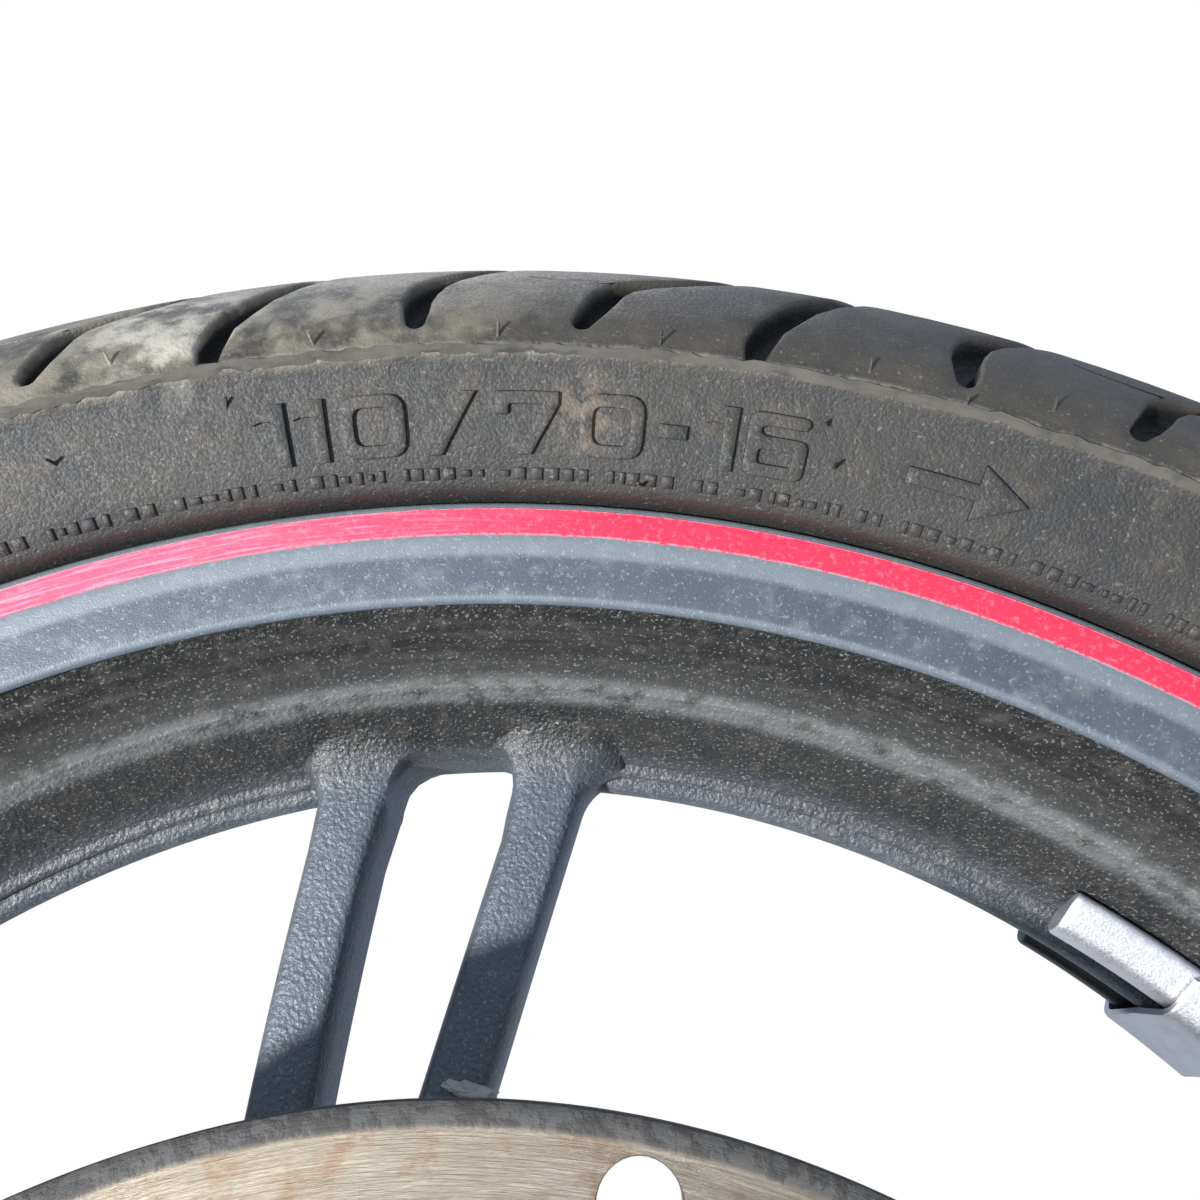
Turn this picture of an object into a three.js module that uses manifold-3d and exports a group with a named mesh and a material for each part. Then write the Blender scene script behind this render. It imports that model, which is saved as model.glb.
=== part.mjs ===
// Front wheel of a scooter, ready to fit: a tubeless tyre on a one-piece cast wheel with five
// swept spoke pairs, its brake disc, wheel bearings, axle, tyre valve and clip-on balance weight.
// Millimetres. The origin is the wheel's centre, the wheel spins about Y, the brake disc is on
// the -Y side and +Z is up. Profiles are lists of [y, r]: place along the axle, then radius.
import * as THREE from 'three';
import { mergeVertices } from 'three/addons/utils/BufferGeometryUtils.js';
import Module from 'manifold-3d';

const wasm = await Module();
wasm.setup();

// ---- driving dimensions ------------------------------------------------------------------
const RING_SIDES = 40; // sides of the big turned pieces
const HUB_SIDES = 16; // sides of the hub's turned pieces
const RACE_SIDES = 24; // sides of the bearing races, whose grooves the balls run in
const SMALL_SIDES = 12; // sides of bolts and valve pieces

// rim
const SEAT_RADIUS = 202.8; // bead seat of a 16 inch rim
const FLANGE_INSIDE = 38.1; // half the 3.00 inch rim width
const FLANGE_WALL = 3.4;
const FLANGE_HEIGHT = 14.8;
const SEAT_WALL = 3.4; // metal under the bead seat
const WELL_RADIUS = SEAT_RADIUS - 12.3;
const WELL_HALF = 11;
const RIB_RADIUS = WELL_RADIUS - 11.6; // inner edge of the rib round the middle of the rim
const RIB_HALF = 5.6;
const SLOPE_RADIUS = RIB_RADIUS + 3.8; // where the sloped underside meets the rib
const RIDGE_RADIUS = SEAT_RADIUS - 10.9; // where the sloped underside meets the hollow side wall
const RIDGE_PLACE = FLANGE_INSIDE - 16.5;
const STRIPE_INNER = SEAT_RADIUS + FLANGE_HEIGHT - 6.4;
const STRIPE_WIDTH = 4.8;
const STRIPE_THICK = 0.3;

// tyre
const SECTION_HEIGHT = 77.8; // from the bead seat to the crown
const CROWN_RADIUS = SEAT_RADIUS + SECTION_HEIGHT;
const TYRE_HALF_WIDTH = 58;
const CROWN_CURVE = TYRE_HALF_WIDTH + 4.5; // radius of the tread's cross section
const TREAD_EDGE = TYRE_HALF_WIDTH - 0.2; // half the width of the tread's arc
const SHOULDER_DROP = 6.9; // from the edge of the tread to the moulding line below it
const TREAD_THICK = 12;
const SIDEWALL_THICK = 7;
const BEAD_GAP = 0.35; // between tyre bead and rim

// spokes
const PAIRS = 5;
const SPOKE_HALF_DEPTH = 10;
const SPOKE_RIM_WIDTH = 13; // at the middle plane, near the rim
const SPOKE_HUB_WIDTH = 11.5; // at the middle plane, near the hub
const SPOKE_DRAFT = 1.6; // how much narrower each side is at the face
const SLOT_OUTER = SLOPE_RADIUS + 0.3; // arch at the outer end of the slot between two spokes
const ROOT_FILLET = 9;

// hub and bearings
const DISC_SEAT = 52.2; // hub's disc face, on the -Y side
const HUB_FAR_END = 38;
const BOLTS = 5;
const BOLT_CIRCLE = 52; // radius of the circle of disc bolts
const FLANGE_RADIUS = BOLT_CIRCLE + 11;
const HUB_RING = 50; // radius of the ring that the spokes grow from
const SLOT_INNER = HUB_RING + 16; // inner end of the slot between two spokes
const BEARING_BORE = 15;
const BEARING_OUTSIDE = 35;
const BEARING_WIDTH = 11;
const HUB_END_RADIUS = BEARING_OUTSIDE / 2 + 9.5;
const BALL = (BEARING_OUTSIDE - BEARING_BORE) * 0.3;
const BALLS = 8;
const SEAL_WIDTH = 6.5;
const SEAL_LIP_GAP = 0.4; // the flats of the turned seal stay off the collar as it turns
const HUB_SHOULDER = BEARING_OUTSIDE / 2 - 1.9; // radius of the hub between the bearings
const FIT = 0.1; // radial gap of pieces that are pressed or slid together
const FACE_GAP = 0.1; // gap of pieces that are clamped face to face

// brake disc
const DISC_RADIUS = 130.4;
const DISC_THICK = 4;
const BRAKE_BAND = 36;
const DISC_BORE = BOLT_CIRCLE - 10;
const BOLT_RADIUS = 4;
const BOLT_HEAD_RADIUS = 7;
const BOLT_HEAD = 4.5;
const BOLT_LENGTH = 20;
const DRILLING = 5; // radius of the disc's drilled holes
const DRILL_GROUPS = 9;
const FIRST_DRILLING = DISC_RADIUS - 8.9; // radius of the outer row of holes
const DRILL_STEP = 10;
const DRILL_START = 10.35; // angle of the first hole of the first group
const DRILL_LEAN = 7; // angle that each further row is set back

// axle
const FORK_NEAR = 70; // inner face of the fork leg on the disc side
const FORK_FAR = 60;
const FORK_LEG = 20;
const COLLAR_RADIUS = BEARING_BORE / 2 + 3.5;
const COLLAR_END_RADIUS = COLLAR_RADIUS + 2.5;
const COLLAR_END = 5;
const AXLE_HEAD_RADIUS = BEARING_BORE / 2 + 6.5;
const AXLE_HEAD = 8;
const WASHER = 2;
const WASHER_RADIUS = AXLE_HEAD_RADIUS;
const NUT = 10;
const NUT_ACROSS = BEARING_BORE + 7;
const THREAD_SHOWING = 5.9;
const TUBE_RADIUS = BEARING_BORE / 2 + 2.1;

// valve, on the Z axis at the wheel's lowest point
const VALVE_HOLE = 5.65;
const VALVE_SEAT = RIB_RADIUS + 5.4; // spot face on the rim's inner side
const VALVE_TIP = VALVE_SEAT - 31.3;
const STEM_RADIUS = 3.85;
const STEM_BORE = 2.65;
const CORE_BORE = 1.7;
const PIN_RADIUS = 0.6;
const PIN_TRAVEL = 1.5; // room that the pin has to move outwards
const SPRING_ROOM = 12.1;
const CAP_WALL = 1.1;
const CAP_LENGTH = 10.5;
const VALVE_GAP = 0.3;

// balance weight, in degrees from the top towards +X
const WEIGHT_START = 31.5;
const WEIGHT_END = 49;
const CLIP_START = 38;
const CLIP_END = 43;
const WEIGHT_GAP = 0.35;
const CLIP_WALL = 1.2;

// ---- helpers -----------------------------------------------------------------------------
const radians = THREE.MathUtils.degToRad;
const vector = (x, y) => new THREE.Vector2(x, y);

/** A closed geometry as a solid that faces outwards. */
function solid(geometry) {
  for (const name of Object.keys(geometry.attributes)) {
    if (name !== 'position') geometry.deleteAttribute(name);
  }
  const merged = mergeVertices(geometry, 1e-4);
  const vertProperties = new Float32Array(merged.attributes.position.array);
  const corners = Array.from(merged.index.array);
  const triangles = [];
  for (let i = 0; i < corners.length; i += 3) {
    const [a, b, c] = corners.slice(i, i + 3);
    if (a !== b && b !== c && c !== a) triangles.push(a, b, c);
  }
  const build = (list) => new wasm.Manifold(
    new wasm.Mesh({ numProp: 3, vertProperties, triVerts: new Uint32Array(list) }),
  );
  const first = build(triangles);
  return first.volume() >= 0 ? first : build(triangles.reverse());
}

/** A solid back as a geometry. */
function geometryOf(shape) {
  const { vertProperties, triVerts } = shape.getMesh();
  const geometry = new THREE.BufferGeometry();
  geometry.setAttribute('position', new THREE.BufferAttribute(new Float32Array(vertProperties), 3));
  geometry.setIndex(Array.from(triVerts));
  geometry.computeVertexNormals();
  return geometry;
}

/** A closed [y, r] profile turned about the axle. */
function turned(profile, sides = HUB_SIDES) {
  const points = [...profile, profile[0]].map(([y, r]) => vector(r, y));
  return solid(new THREE.LatheGeometry(points, sides));
}

/** The [y, r] points of one side on the +Y side, in the order that carries a profile on. */
const otherSide = (half) => half.map(([y, r]) => [-y, r]).reverse();

/** A plate with its outline in the X-Z plane, from y = low to y = high. */
function plate(shape, low, high, curveSegments = 6, bevel = {}) {
  const { bevelThickness = 0 } = bevel;
  const depth = high - low - 2 * bevelThickness;
  const geometry = new THREE.ExtrudeGeometry(shape, {
    depth, curveSegments, bevelEnabled: bevelThickness > 0, ...bevel,
  });
  geometry.rotateX(Math.PI / 2);
  geometry.translate(0, high - bevelThickness, 0);
  return solid(geometry);
}

/** A cylinder along Y, from y = low to y = high, with its centre at [x, z]. */
function pinAlongY(radius, low, high, [x, z] = [0, 0], sides = SMALL_SIDES) {
  const geometry = new THREE.CylinderGeometry(radius, radius, high - low, sides);
  geometry.translate(x, (low + high) / 2, z);
  return solid(geometry);
}

/** A closed [place, r] profile turned about the valve's axis; place is a radius of the wheel. */
function valveTurned(profile, sides = SMALL_SIDES) {
  const points = [...profile, profile[0]].map(([place, r]) => vector(r, place));
  const geometry = new THREE.LatheGeometry(points, sides);
  geometry.rotateX(-Math.PI / 2);
  return solid(geometry);
}

/** A point at a radius and an angle in degrees from the top, towards +X. */
const polar = (radius, degrees) => vector(radius * Math.sin(radians(degrees)), radius * Math.cos(radians(degrees)));

/** A shape rotated about the wheel's axis by some degrees, +Z towards +X. */
function spun(shape, degrees) {
  const matrix = new THREE.Matrix4().makeRotationY(radians(degrees));
  return shape.transform(matrix.elements);
}

/** A slice of the wheel between two angles. */
function sector(from, to, reach) {
  const shape = new THREE.Shape();
  shape.moveTo(0, 0);
  for (const angle of [from, (from + to) / 2, to]) {
    const p = polar(reach, angle);
    shape.lineTo(p.x, p.y);
  }
  return plate(shape, -60, 60);
}

const object = new THREE.Group();

function add(name, shape, [color, roughness, metalness]) {
  const material = new THREE.MeshStandardMaterial({ color, roughness, metalness });
  const mesh = new THREE.Mesh(geometryOf(shape), material);
  mesh.name = name;
  object.add(mesh);
}

const RUBBER = [0x2c2b29, 0.9, 0];
const SEAL_RUBBER = [0x1b1b1c, 0.7, 0];
const CAST = [0x454c54, 0.6, 0.3];
const STRIPE = [0xf0405a, 0.5, 0];
const DISC_STEEL = [0xafa08c, 0.35, 0.9];
const STEEL = [0xb9bec2, 0.3, 1];
const ZINC = [0xc9ccce, 0.4, 0.9];
const BRASS = [0xb08d4a, 0.35, 1];
const CAP_PLASTIC = [0x1a1a1a, 0.5, 0];

// ---- tyre --------------------------------------------------------------------------------
const flangeTop = SEAT_RADIUS + FLANGE_HEIGHT;
const flangeOutside = FLANGE_INSIDE + FLANGE_WALL;
const crownCentre = CROWN_RADIUS - CROWN_CURVE;
const shoulderLine = crownCentre + Math.sqrt(CROWN_CURVE ** 2 - TREAD_EDGE ** 2) - SHOULDER_DROP;

/** Points of the tread's cross section, or of its inner side, from the middle to the -Y side. */
function crownArc(curve, halfWidth, steps) {
  const end = Math.asin(halfWidth / curve);
  const at = (i) => (end * i) / steps;
  return Array.from({ length: steps + 1 }, (_, i) => [-curve * Math.sin(at(i)), crownCentre + curve * Math.cos(at(i))]);
}

function tyre() {
  const heel = -FLANGE_INSIDE + BEAD_GAP;
  const sidewallFoot = flangeTop + BEAD_GAP;
  const footPlace = -flangeOutside - 3;
  const bulge = [THREE.MathUtils.lerp(footPlace, -TYRE_HALF_WIDTH, 0.51), (shoulderLine + sidewallFoot) / 2];
  const outer = [
    ...crownArc(CROWN_CURVE, TREAD_EDGE, 4),
    [-TYRE_HALF_WIDTH, shoulderLine + 0.6],
    [-TYRE_HALF_WIDTH + 0.9, shoulderLine - 0.4],
    bulge,
    [footPlace, sidewallFoot],
    [-flangeOutside, sidewallFoot],
    [heel, sidewallFoot],
    [heel, SEAT_RADIUS + 2.8],
  ];
  const base = [
    [-FLANGE_INSIDE + 2.3, SEAT_RADIUS + 0.65],
    [-FLANGE_INSIDE + 11.6, SEAT_RADIUS - 0.15],
    [-FLANGE_INSIDE + 12.5, SEAT_RADIUS + 1.7],
  ];
  const inside = [
    [-FLANGE_INSIDE + 9, SEAT_RADIUS + 9],
    [footPlace + SIDEWALL_THICK * 1.1, sidewallFoot + SIDEWALL_THICK * 0.5],
    [bulge[0] + SIDEWALL_THICK * 0.85, bulge[1] + SIDEWALL_THICK * 0.6],
    ...crownArc(CROWN_CURVE - TREAD_THICK, TREAD_EDGE * 0.93 - TREAD_THICK * 0.56, 3).reverse(),
  ];
  const half = [...outer, ...base, ...inside];
  return turned([...half, ...otherSide(half.slice(1, -1))], RING_SIDES);
}
add('tire', tyre(), RUBBER);

// ---- cast wheel --------------------------------------------------------------------------
/** Place of the rim's side wall and underside, from the flange's lip to the rib. */
function rimProfile() {
  const groove = SEAT_RADIUS - SEAT_WALL;
  const half = [
    [0, RIB_RADIUS],
    [-RIB_HALF + 3.2, RIB_RADIUS + 0.6],
    [-RIB_HALF, SLOPE_RADIUS],
    [-RIDGE_PLACE, RIDGE_RADIUS],
    [-FLANGE_INSIDE + 4, groove],
    [-FLANGE_INSIDE - 0.3, groove + 1.4],
    [-flangeOutside + 0.6, STRIPE_INNER - 3],
    [-flangeOutside, STRIPE_INNER - 0.3],
    [-flangeOutside, STRIPE_INNER + STRIPE_WIDTH + 0.2],
    [-flangeOutside + 1.7, flangeTop],
    [-FLANGE_INSIDE, flangeTop - 1.4],
    [-FLANGE_INSIDE, SEAT_RADIUS + 2.7],
    [-FLANGE_INSIDE + 2.1, SEAT_RADIUS + 0.3],
    [-FLANGE_INSIDE + 12.1, SEAT_RADIUS - 0.5],
    [-FLANGE_INSIDE + 14.6, SEAT_RADIUS - 1.6],
    [-WELL_HALF, WELL_RADIUS],
  ];
  return [...half, ...otherSide(half.slice(1))];
}

/** A spoke's middle line in the X-Z plane, from the rim to the hub; bend is the place of its middle. */
function middleLine(rimRadius, rimAngle, [hubX, hubZ], [bendX, bendShare]) {
  const rimEnd = polar(rimRadius, rimAngle);
  const bend = vector(bendX, THREE.MathUtils.lerp(hubZ, rimEnd.y, bendShare));
  return new THREE.QuadraticBezierCurve(rimEnd, bend, vector(hubX, hubZ));
}
// The two spokes of a pair lean away from the radius and close up towards the hub.
const LEADING = middleLine(SLOPE_RADIUS - 6.6, -8.95, [-38, 28], [-41, 0.445]);
const TRAILING = middleLine(SLOPE_RADIUS - 8, 2.5, [-33, 32], [-14, 0.498]);

/** Points along one side of a spoke, from the rim inwards; side is -1 for left, 1 for right. */
function spokeSide(line, side, from, to, steps = 6) {
  return Array.from({ length: steps + 1 }, (_, i) => {
    const t = from + ((to - from) * i) / steps;
    const width = THREE.MathUtils.lerp(SPOKE_RIM_WIDTH, SPOKE_HUB_WIDTH, t);
    const along = line.getTangent(t);
    return line.getPoint(t).add(vector(-along.y, along.x).multiplyScalar((side * width) / 2));
  });
}

/** How far along a spoke's middle line a radius lies. */
function placeOf(line, radius) {
  let [low, high] = [0, 1];
  for (let i = 0; i < 30; i += 1) {
    const middle = (low + high) / 2;
    if (line.getPoint(middle).length() > radius) low = middle; else high = middle;
  }
  return low;
}

/** The outline round both spokes of a pair, flared where it meets the rim. */
function pairOutline() {
  const left = spokeSide(LEADING, -1, 0.02, 1);
  const right = spokeSide(TRAILING, 1, 0.02, 1).reverse();
  const angleOf = (p) => THREE.MathUtils.radToDeg(Math.atan2(p.x, p.y));
  const flare = THREE.MathUtils.radToDeg(ROOT_FILLET / SLOPE_RADIUS);
  const leftEnd = polar(SLOPE_RADIUS - 1.5, angleOf(left[0]) - flare);
  const rightEnd = polar(SLOPE_RADIUS - 1.5, angleOf(right.at(-1)) + flare);
  const leftCorner = polar(SLOPE_RADIUS - 2, angleOf(left[0]));
  const rightCorner = polar(SLOPE_RADIUS - 2, angleOf(right.at(-1)));
  const shape = new THREE.Shape();
  const leftTop = polar(SLOPE_RADIUS + 3, angleOf(leftEnd));
  shape.moveTo(leftTop.x, leftTop.y);
  shape.lineTo(leftEnd.x, leftEnd.y);
  shape.quadraticCurveTo(leftCorner.x, leftCorner.y, left[0].x, left[0].y);
  left.slice(1).forEach((p) => shape.lineTo(p.x, p.y));
  right.forEach((p) => shape.lineTo(p.x, p.y));
  shape.quadraticCurveTo(rightCorner.x, rightCorner.y, rightEnd.x, rightEnd.y);
  for (const share of [1, 0.5]) {
    const p = polar(SLOPE_RADIUS + 3, THREE.MathUtils.lerp(angleOf(leftEnd), angleOf(rightEnd), share));
    shape.lineTo(p.x, p.y);
  }
  return shape;
}

/** The slot between the two spokes of a pair, with an arch at its outer end. */
function slotOutline() {
  const starts = [placeOf(LEADING, SLOT_OUTER - 9), placeOf(TRAILING, SLOT_OUTER - 8)].map((t) => Math.max(t, 0));
  const left = spokeSide(LEADING, 1, starts[0], placeOf(LEADING, SLOT_INNER));
  const right = spokeSide(TRAILING, -1, starts[1], placeOf(TRAILING, SLOT_INNER)).reverse();
  const angleOf = (p) => THREE.MathUtils.radToDeg(Math.atan2(p.x, p.y));
  const [a, b] = [angleOf(left[0]), angleOf(right.at(-1))];
  const top = (share) => polar(SLOT_OUTER, THREE.MathUtils.lerp(a, b, share));
  const shape = new THREE.Shape();
  shape.moveTo(left[0].x, left[0].y);
  left.slice(1).forEach((p) => shape.lineTo(p.x, p.y));
  right.forEach((p) => shape.lineTo(p.x, p.y));
  shape.quadraticCurveTo(top(1).x, top(1).y, top(0.75).x, top(0.75).y);
  shape.lineTo(top(0.35).x, top(0.35).y);
  shape.quadraticCurveTo(top(0).x, top(0).y, left[0].x, left[0].y);
  return shape;
}

const bearingPocket = BEARING_OUTSIDE / 2 + FIT;
const nearBearing = -DISC_SEAT + SEAL_WIDTH + 0.5; // outer face of the bearing on the disc side
const farBearing = HUB_FAR_END - SEAL_WIDTH - 0.5 - BEARING_WIDTH; // inner face of the other one

function hubProfile() {
  return [
    [-DISC_SEAT, bearingPocket],
    [-DISC_SEAT, FLANGE_RADIUS],
    [-DISC_SEAT + 9, FLANGE_RADIUS],
    [-SPOKE_HALF_DEPTH - 8, HUB_RING - 8],
    [-SPOKE_HALF_DEPTH, HUB_RING],
    [SPOKE_HALF_DEPTH, HUB_RING],
    [SPOKE_HALF_DEPTH + 5, HUB_RING - 12],
    [HUB_FAR_END - 3, HUB_END_RADIUS],
    [HUB_FAR_END, HUB_END_RADIUS - 2],
    [HUB_FAR_END, bearingPocket],
    [farBearing - FACE_GAP, bearingPocket],
    [farBearing - FACE_GAP, HUB_SHOULDER],
    [nearBearing + BEARING_WIDTH + FACE_GAP, HUB_SHOULDER],
    [nearBearing + BEARING_WIDTH + FACE_GAP, bearingPocket],
  ];
}

const boltAngle = (i) => (i * 360) / BOLTS + 20;

function casting() {
  let body = turned(rimProfile(), RING_SIDES);
  const pair = plate(pairOutline(), -SPOKE_HALF_DEPTH, SPOKE_HALF_DEPTH, 4, {
    bevelThickness: SPOKE_HALF_DEPTH - 0.5, bevelSize: SPOKE_DRAFT, bevelOffset: -SPOKE_DRAFT, bevelSegments: 1,
  });
  const slot = plate(slotOutline(), -SPOKE_HALF_DEPTH - 5, SPOKE_HALF_DEPTH + 5, 4);
  for (let i = 0; i < PAIRS; i += 1) body = body.add(spun(pair, (i * 360) / PAIRS));
  for (let i = 0; i < PAIRS; i += 1) body = body.subtract(spun(slot, (i * 360) / PAIRS));
  const bore = turned([[-90, 0], [-90, bearingPocket + 4], [90, bearingPocket + 4], [90, 0]]);
  body = body.subtract(bore).add(turned(hubProfile(), RING_SIDES));
  for (let i = 0; i < BOLTS; i += 1) {
    const { x, y } = polar(BOLT_CIRCLE, boltAngle(i));
    const low = -DISC_SEAT - 1;
    body = body.subtract(pinAlongY(BOLT_RADIUS + FIT, low, low + BOLT_LENGTH - DISC_THICK + 3, [x, y]));
  }
  const valveHole = valveTurned([
    [VALVE_TIP, 0], [VALVE_TIP, 10], [VALVE_SEAT, 10], [VALVE_SEAT, VALVE_HOLE],
    [SEAT_RADIUS, VALVE_HOLE], [SEAT_RADIUS, 0],
  ]);
  return body.subtract(valveHole);
}
add('wheel_casting', casting(), CAST);

function stripe(side) {
  const inner = side * (flangeOutside + 0.05);
  const outer = inner + side * STRIPE_THICK;
  return turned([
    [inner, STRIPE_INNER], [outer, STRIPE_INNER],
    [outer, STRIPE_INNER + STRIPE_WIDTH], [inner, STRIPE_INNER + STRIPE_WIDTH],
  ], RING_SIDES);
}
add('rim_stripe_disc_side', stripe(-1), STRIPE);
add('rim_stripe_far_side', stripe(1), STRIPE);

// ---- brake disc and its bolts --------------------------------------------------------------
const discBack = -DISC_SEAT - FACE_GAP;
const discFace = discBack - DISC_THICK;

function hole(radius, x, y) {
  const path = new THREE.Path();
  path.absarc(x, y, radius, 0, Math.PI * 2, true);
  return path;
}

/** A window of the disc's carrier, between two arms. */
function carrierWindow(middle) {
  const path = new THREE.Path();
  const [low, high] = [BOLT_CIRCLE + 12, DISC_RADIUS - BRAKE_BAND];
  const corners = [[high, -24], [high, 0], [high, 24], [low, 20], [low, 0], [low, -20]];
  corners.forEach(([r, turn], i) => {
    const p = polar(r, middle + turn);
    if (i === 0) path.moveTo(p.x, p.y); else path.lineTo(p.x, p.y);
  });
  return path;
}

function brakeDisc() {
  const shape = new THREE.Shape();
  shape.absarc(0, 0, DISC_RADIUS, 0, Math.PI * 2, false);
  const holes = [hole(DISC_BORE, 0, 0)];
  for (let i = 0; i < BOLTS; i += 1) {
    const p = polar(BOLT_CIRCLE, boltAngle(i));
    holes.push(hole(BOLT_RADIUS + 0.4, p.x, p.y), carrierWindow(boltAngle(i) + 180 / BOLTS));
  }
  shape.holes = holes;
  let body = plate(shape, discFace, discBack, 12);
  const drill = pinAlongY(DRILLING, discFace - 1, discBack + 1, [0, 0], 8);
  for (let group = 0; group < DRILL_GROUPS; group += 1) {
    for (let row = 0; row < 3; row += 1) {
      const angle = DRILL_START + (group * 360) / DRILL_GROUPS - row * DRILL_LEAN;
      const p = polar(FIRST_DRILLING - row * DRILL_STEP, angle);
      body = body.subtract(drill.translate([p.x, 0, p.y]));
    }
  }
  return body;
}
add('brake_disc', brakeDisc(), DISC_STEEL);

for (let i = 0; i < BOLTS; i += 1) {
  const { x, y } = polar(BOLT_CIRCLE, boltAngle(i));
  const head = discFace - FACE_GAP;
  const shank = pinAlongY(BOLT_RADIUS, head - 0.5, head + BOLT_LENGTH, [x, y]);
  const cap = pinAlongY(BOLT_HEAD_RADIUS, head - BOLT_HEAD, head, [x, y]);
  const socket = pinAlongY(2.6, head - BOLT_HEAD - 1, head - BOLT_HEAD + 2.6, [x, y], 6);
  add(`disc_bolt_${i + 1}`, shank.add(cap).subtract(socket), STEEL);
}

// ---- bearings ------------------------------------------------------------------------------
const ballCircle = (BEARING_BORE + BEARING_OUTSIDE) / 4;
const grooveRadius = BALL / 2 + 0.4; // the flats of the turned grooves stay off the balls
const landGap = BALL * 0.3; // from the ball circle to each race's shoulder

/** One race, from its plain face to the shoulder with its ball groove; side is -1 for the inner race. */
function race(low, plain, side) {
  const shoulder = ballCircle + side * landGap;
  const middle = low + BEARING_WIDTH / 2;
  const half = Math.sqrt(grooveRadius ** 2 - landGap ** 2);
  const groove = [-1, -0.5, 0, 0.5, 1].map((share) => {
    const y = half * share;
    return [middle + y, ballCircle + side * Math.sqrt(grooveRadius ** 2 - y ** 2)];
  });
  const high = low + BEARING_WIDTH;
  return turned([[low, plain], [low, shoulder], ...groove, [high, shoulder], [high, plain]], RACE_SIDES);
}

function ballsAndCage(low) {
  const middle = low + BEARING_WIDTH / 2;
  const cageHalf = landGap - 0.6;
  let body = turned([
    [middle - 2, ballCircle - cageHalf], [middle + 2, ballCircle - cageHalf],
    [middle + 2, ballCircle + cageHalf], [middle - 2, ballCircle + cageHalf],
  ]);
  const ball = solid(new THREE.OctahedronGeometry(BALL / 2, 1));
  for (let i = 0; i < BALLS; i += 1) {
    const p = polar(ballCircle, (i * 360) / BALLS);
    body = body.add(ball.translate([p.x, middle, p.y]));
  }
  return body;
}

function shield(low) {
  return turned([
    [low, ballCircle - landGap + 0.3], [low + 0.8, ballCircle - landGap + 0.3],
    [low + 0.8, ballCircle + landGap - 0.3], [low, ballCircle + landGap - 0.3],
  ]);
}

for (const [side, low] of [['disc_side', nearBearing], ['far_side', farBearing]]) {
  add(`bearing_outer_race_${side}`, race(low, BEARING_OUTSIDE / 2, 1), STEEL);
  add(`bearing_inner_race_${side}`, race(low, BEARING_BORE / 2 + FIT, -1), STEEL);
  add(`bearing_balls_${side}`, ballsAndCage(low), STEEL);
  add(`bearing_shield_outer_${side}`, shield(side === 'disc_side' ? low + 0.2 : low + BEARING_WIDTH - 1), SEAL_RUBBER);
  add(`bearing_shield_inner_${side}`, shield(side === 'disc_side' ? low + BEARING_WIDTH - 1 : low + 0.2), SEAL_RUBBER);
}

// ---- axle group ----------------------------------------------------------------------------
const tubeBore = BEARING_BORE / 2 + 0.2;
add('distance_tube', turned([
  [nearBearing + BEARING_WIDTH + FACE_GAP, tubeBore], [nearBearing + BEARING_WIDTH + FACE_GAP, TUBE_RADIUS],
  [farBearing - FACE_GAP, TUBE_RADIUS], [farBearing - FACE_GAP, tubeBore],
]), STEEL);

function dustSeal(low, high) {
  const lip = COLLAR_RADIUS + SEAL_LIP_GAP;
  const middle = (low + high) / 2;
  return turned([
    [low, lip + 1.4], [low, BEARING_OUTSIDE / 2], [high, BEARING_OUTSIDE / 2], [high, lip + 1.4],
    [middle + 0.6, lip], [middle - 0.6, lip],
  ]);
}
add('dust_seal_disc_side', dustSeal(-DISC_SEAT, nearBearing - 0.3), SEAL_RUBBER);
add('dust_seal_far_side', dustSeal(farBearing + BEARING_WIDTH + 0.3, HUB_FAR_END), SEAL_RUBBER);

function collar(raceFace, forkFace) {
  const outward = Math.sign(forkFace);
  const step = forkFace - outward * COLLAR_END;
  return turned([
    [raceFace, tubeBore], [raceFace, ballCircle - landGap - 0.4], [raceFace + outward * 1.2, COLLAR_RADIUS],
    [step, COLLAR_RADIUS], [step, COLLAR_END_RADIUS], [forkFace, COLLAR_END_RADIUS], [forkFace, tubeBore],
  ]);
}
add('side_collar_disc_side', collar(nearBearing - FACE_GAP, -FORK_NEAR), STEEL);
add('side_collar_far_side', collar(farBearing + BEARING_WIDTH + FACE_GAP, FORK_FAR), STEEL);

const headFace = -FORK_NEAR - FORK_LEG;
const washerFace = FORK_FAR + FORK_LEG;
const nutFace = washerFace + WASHER + FACE_GAP;
const threadEnd = nutFace + NUT + THREAD_SHOWING;

function axle() {
  const radius = BEARING_BORE / 2;
  const body = turned([
    [headFace - AXLE_HEAD, 0], [headFace - AXLE_HEAD, AXLE_HEAD_RADIUS - 1.5],
    [headFace - AXLE_HEAD + 1.5, AXLE_HEAD_RADIUS], [headFace, AXLE_HEAD_RADIUS],
    [headFace, radius], [threadEnd - 1, radius], [threadEnd, radius - 1], [threadEnd, 0],
  ]);
  return body.subtract(pinAlongY(5, headFace - AXLE_HEAD - 1, headFace - 2, [0, 0], 6));
}
add('axle', axle(), STEEL);
add('axle_washer', turned([
  [washerFace, tubeBore], [washerFace, WASHER_RADIUS],
  [washerFace + WASHER, WASHER_RADIUS], [washerFace + WASHER, tubeBore],
]), STEEL);
const nutBody = pinAlongY(NUT_ACROSS / Math.sqrt(3), nutFace, nutFace + NUT, [0, 0], 6);
add('axle_nut', nutBody.subtract(pinAlongY(tubeBore, nutFace - 1, nutFace + NUT + 1, [0, 0], HUB_SIDES)), STEEL);

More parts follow.
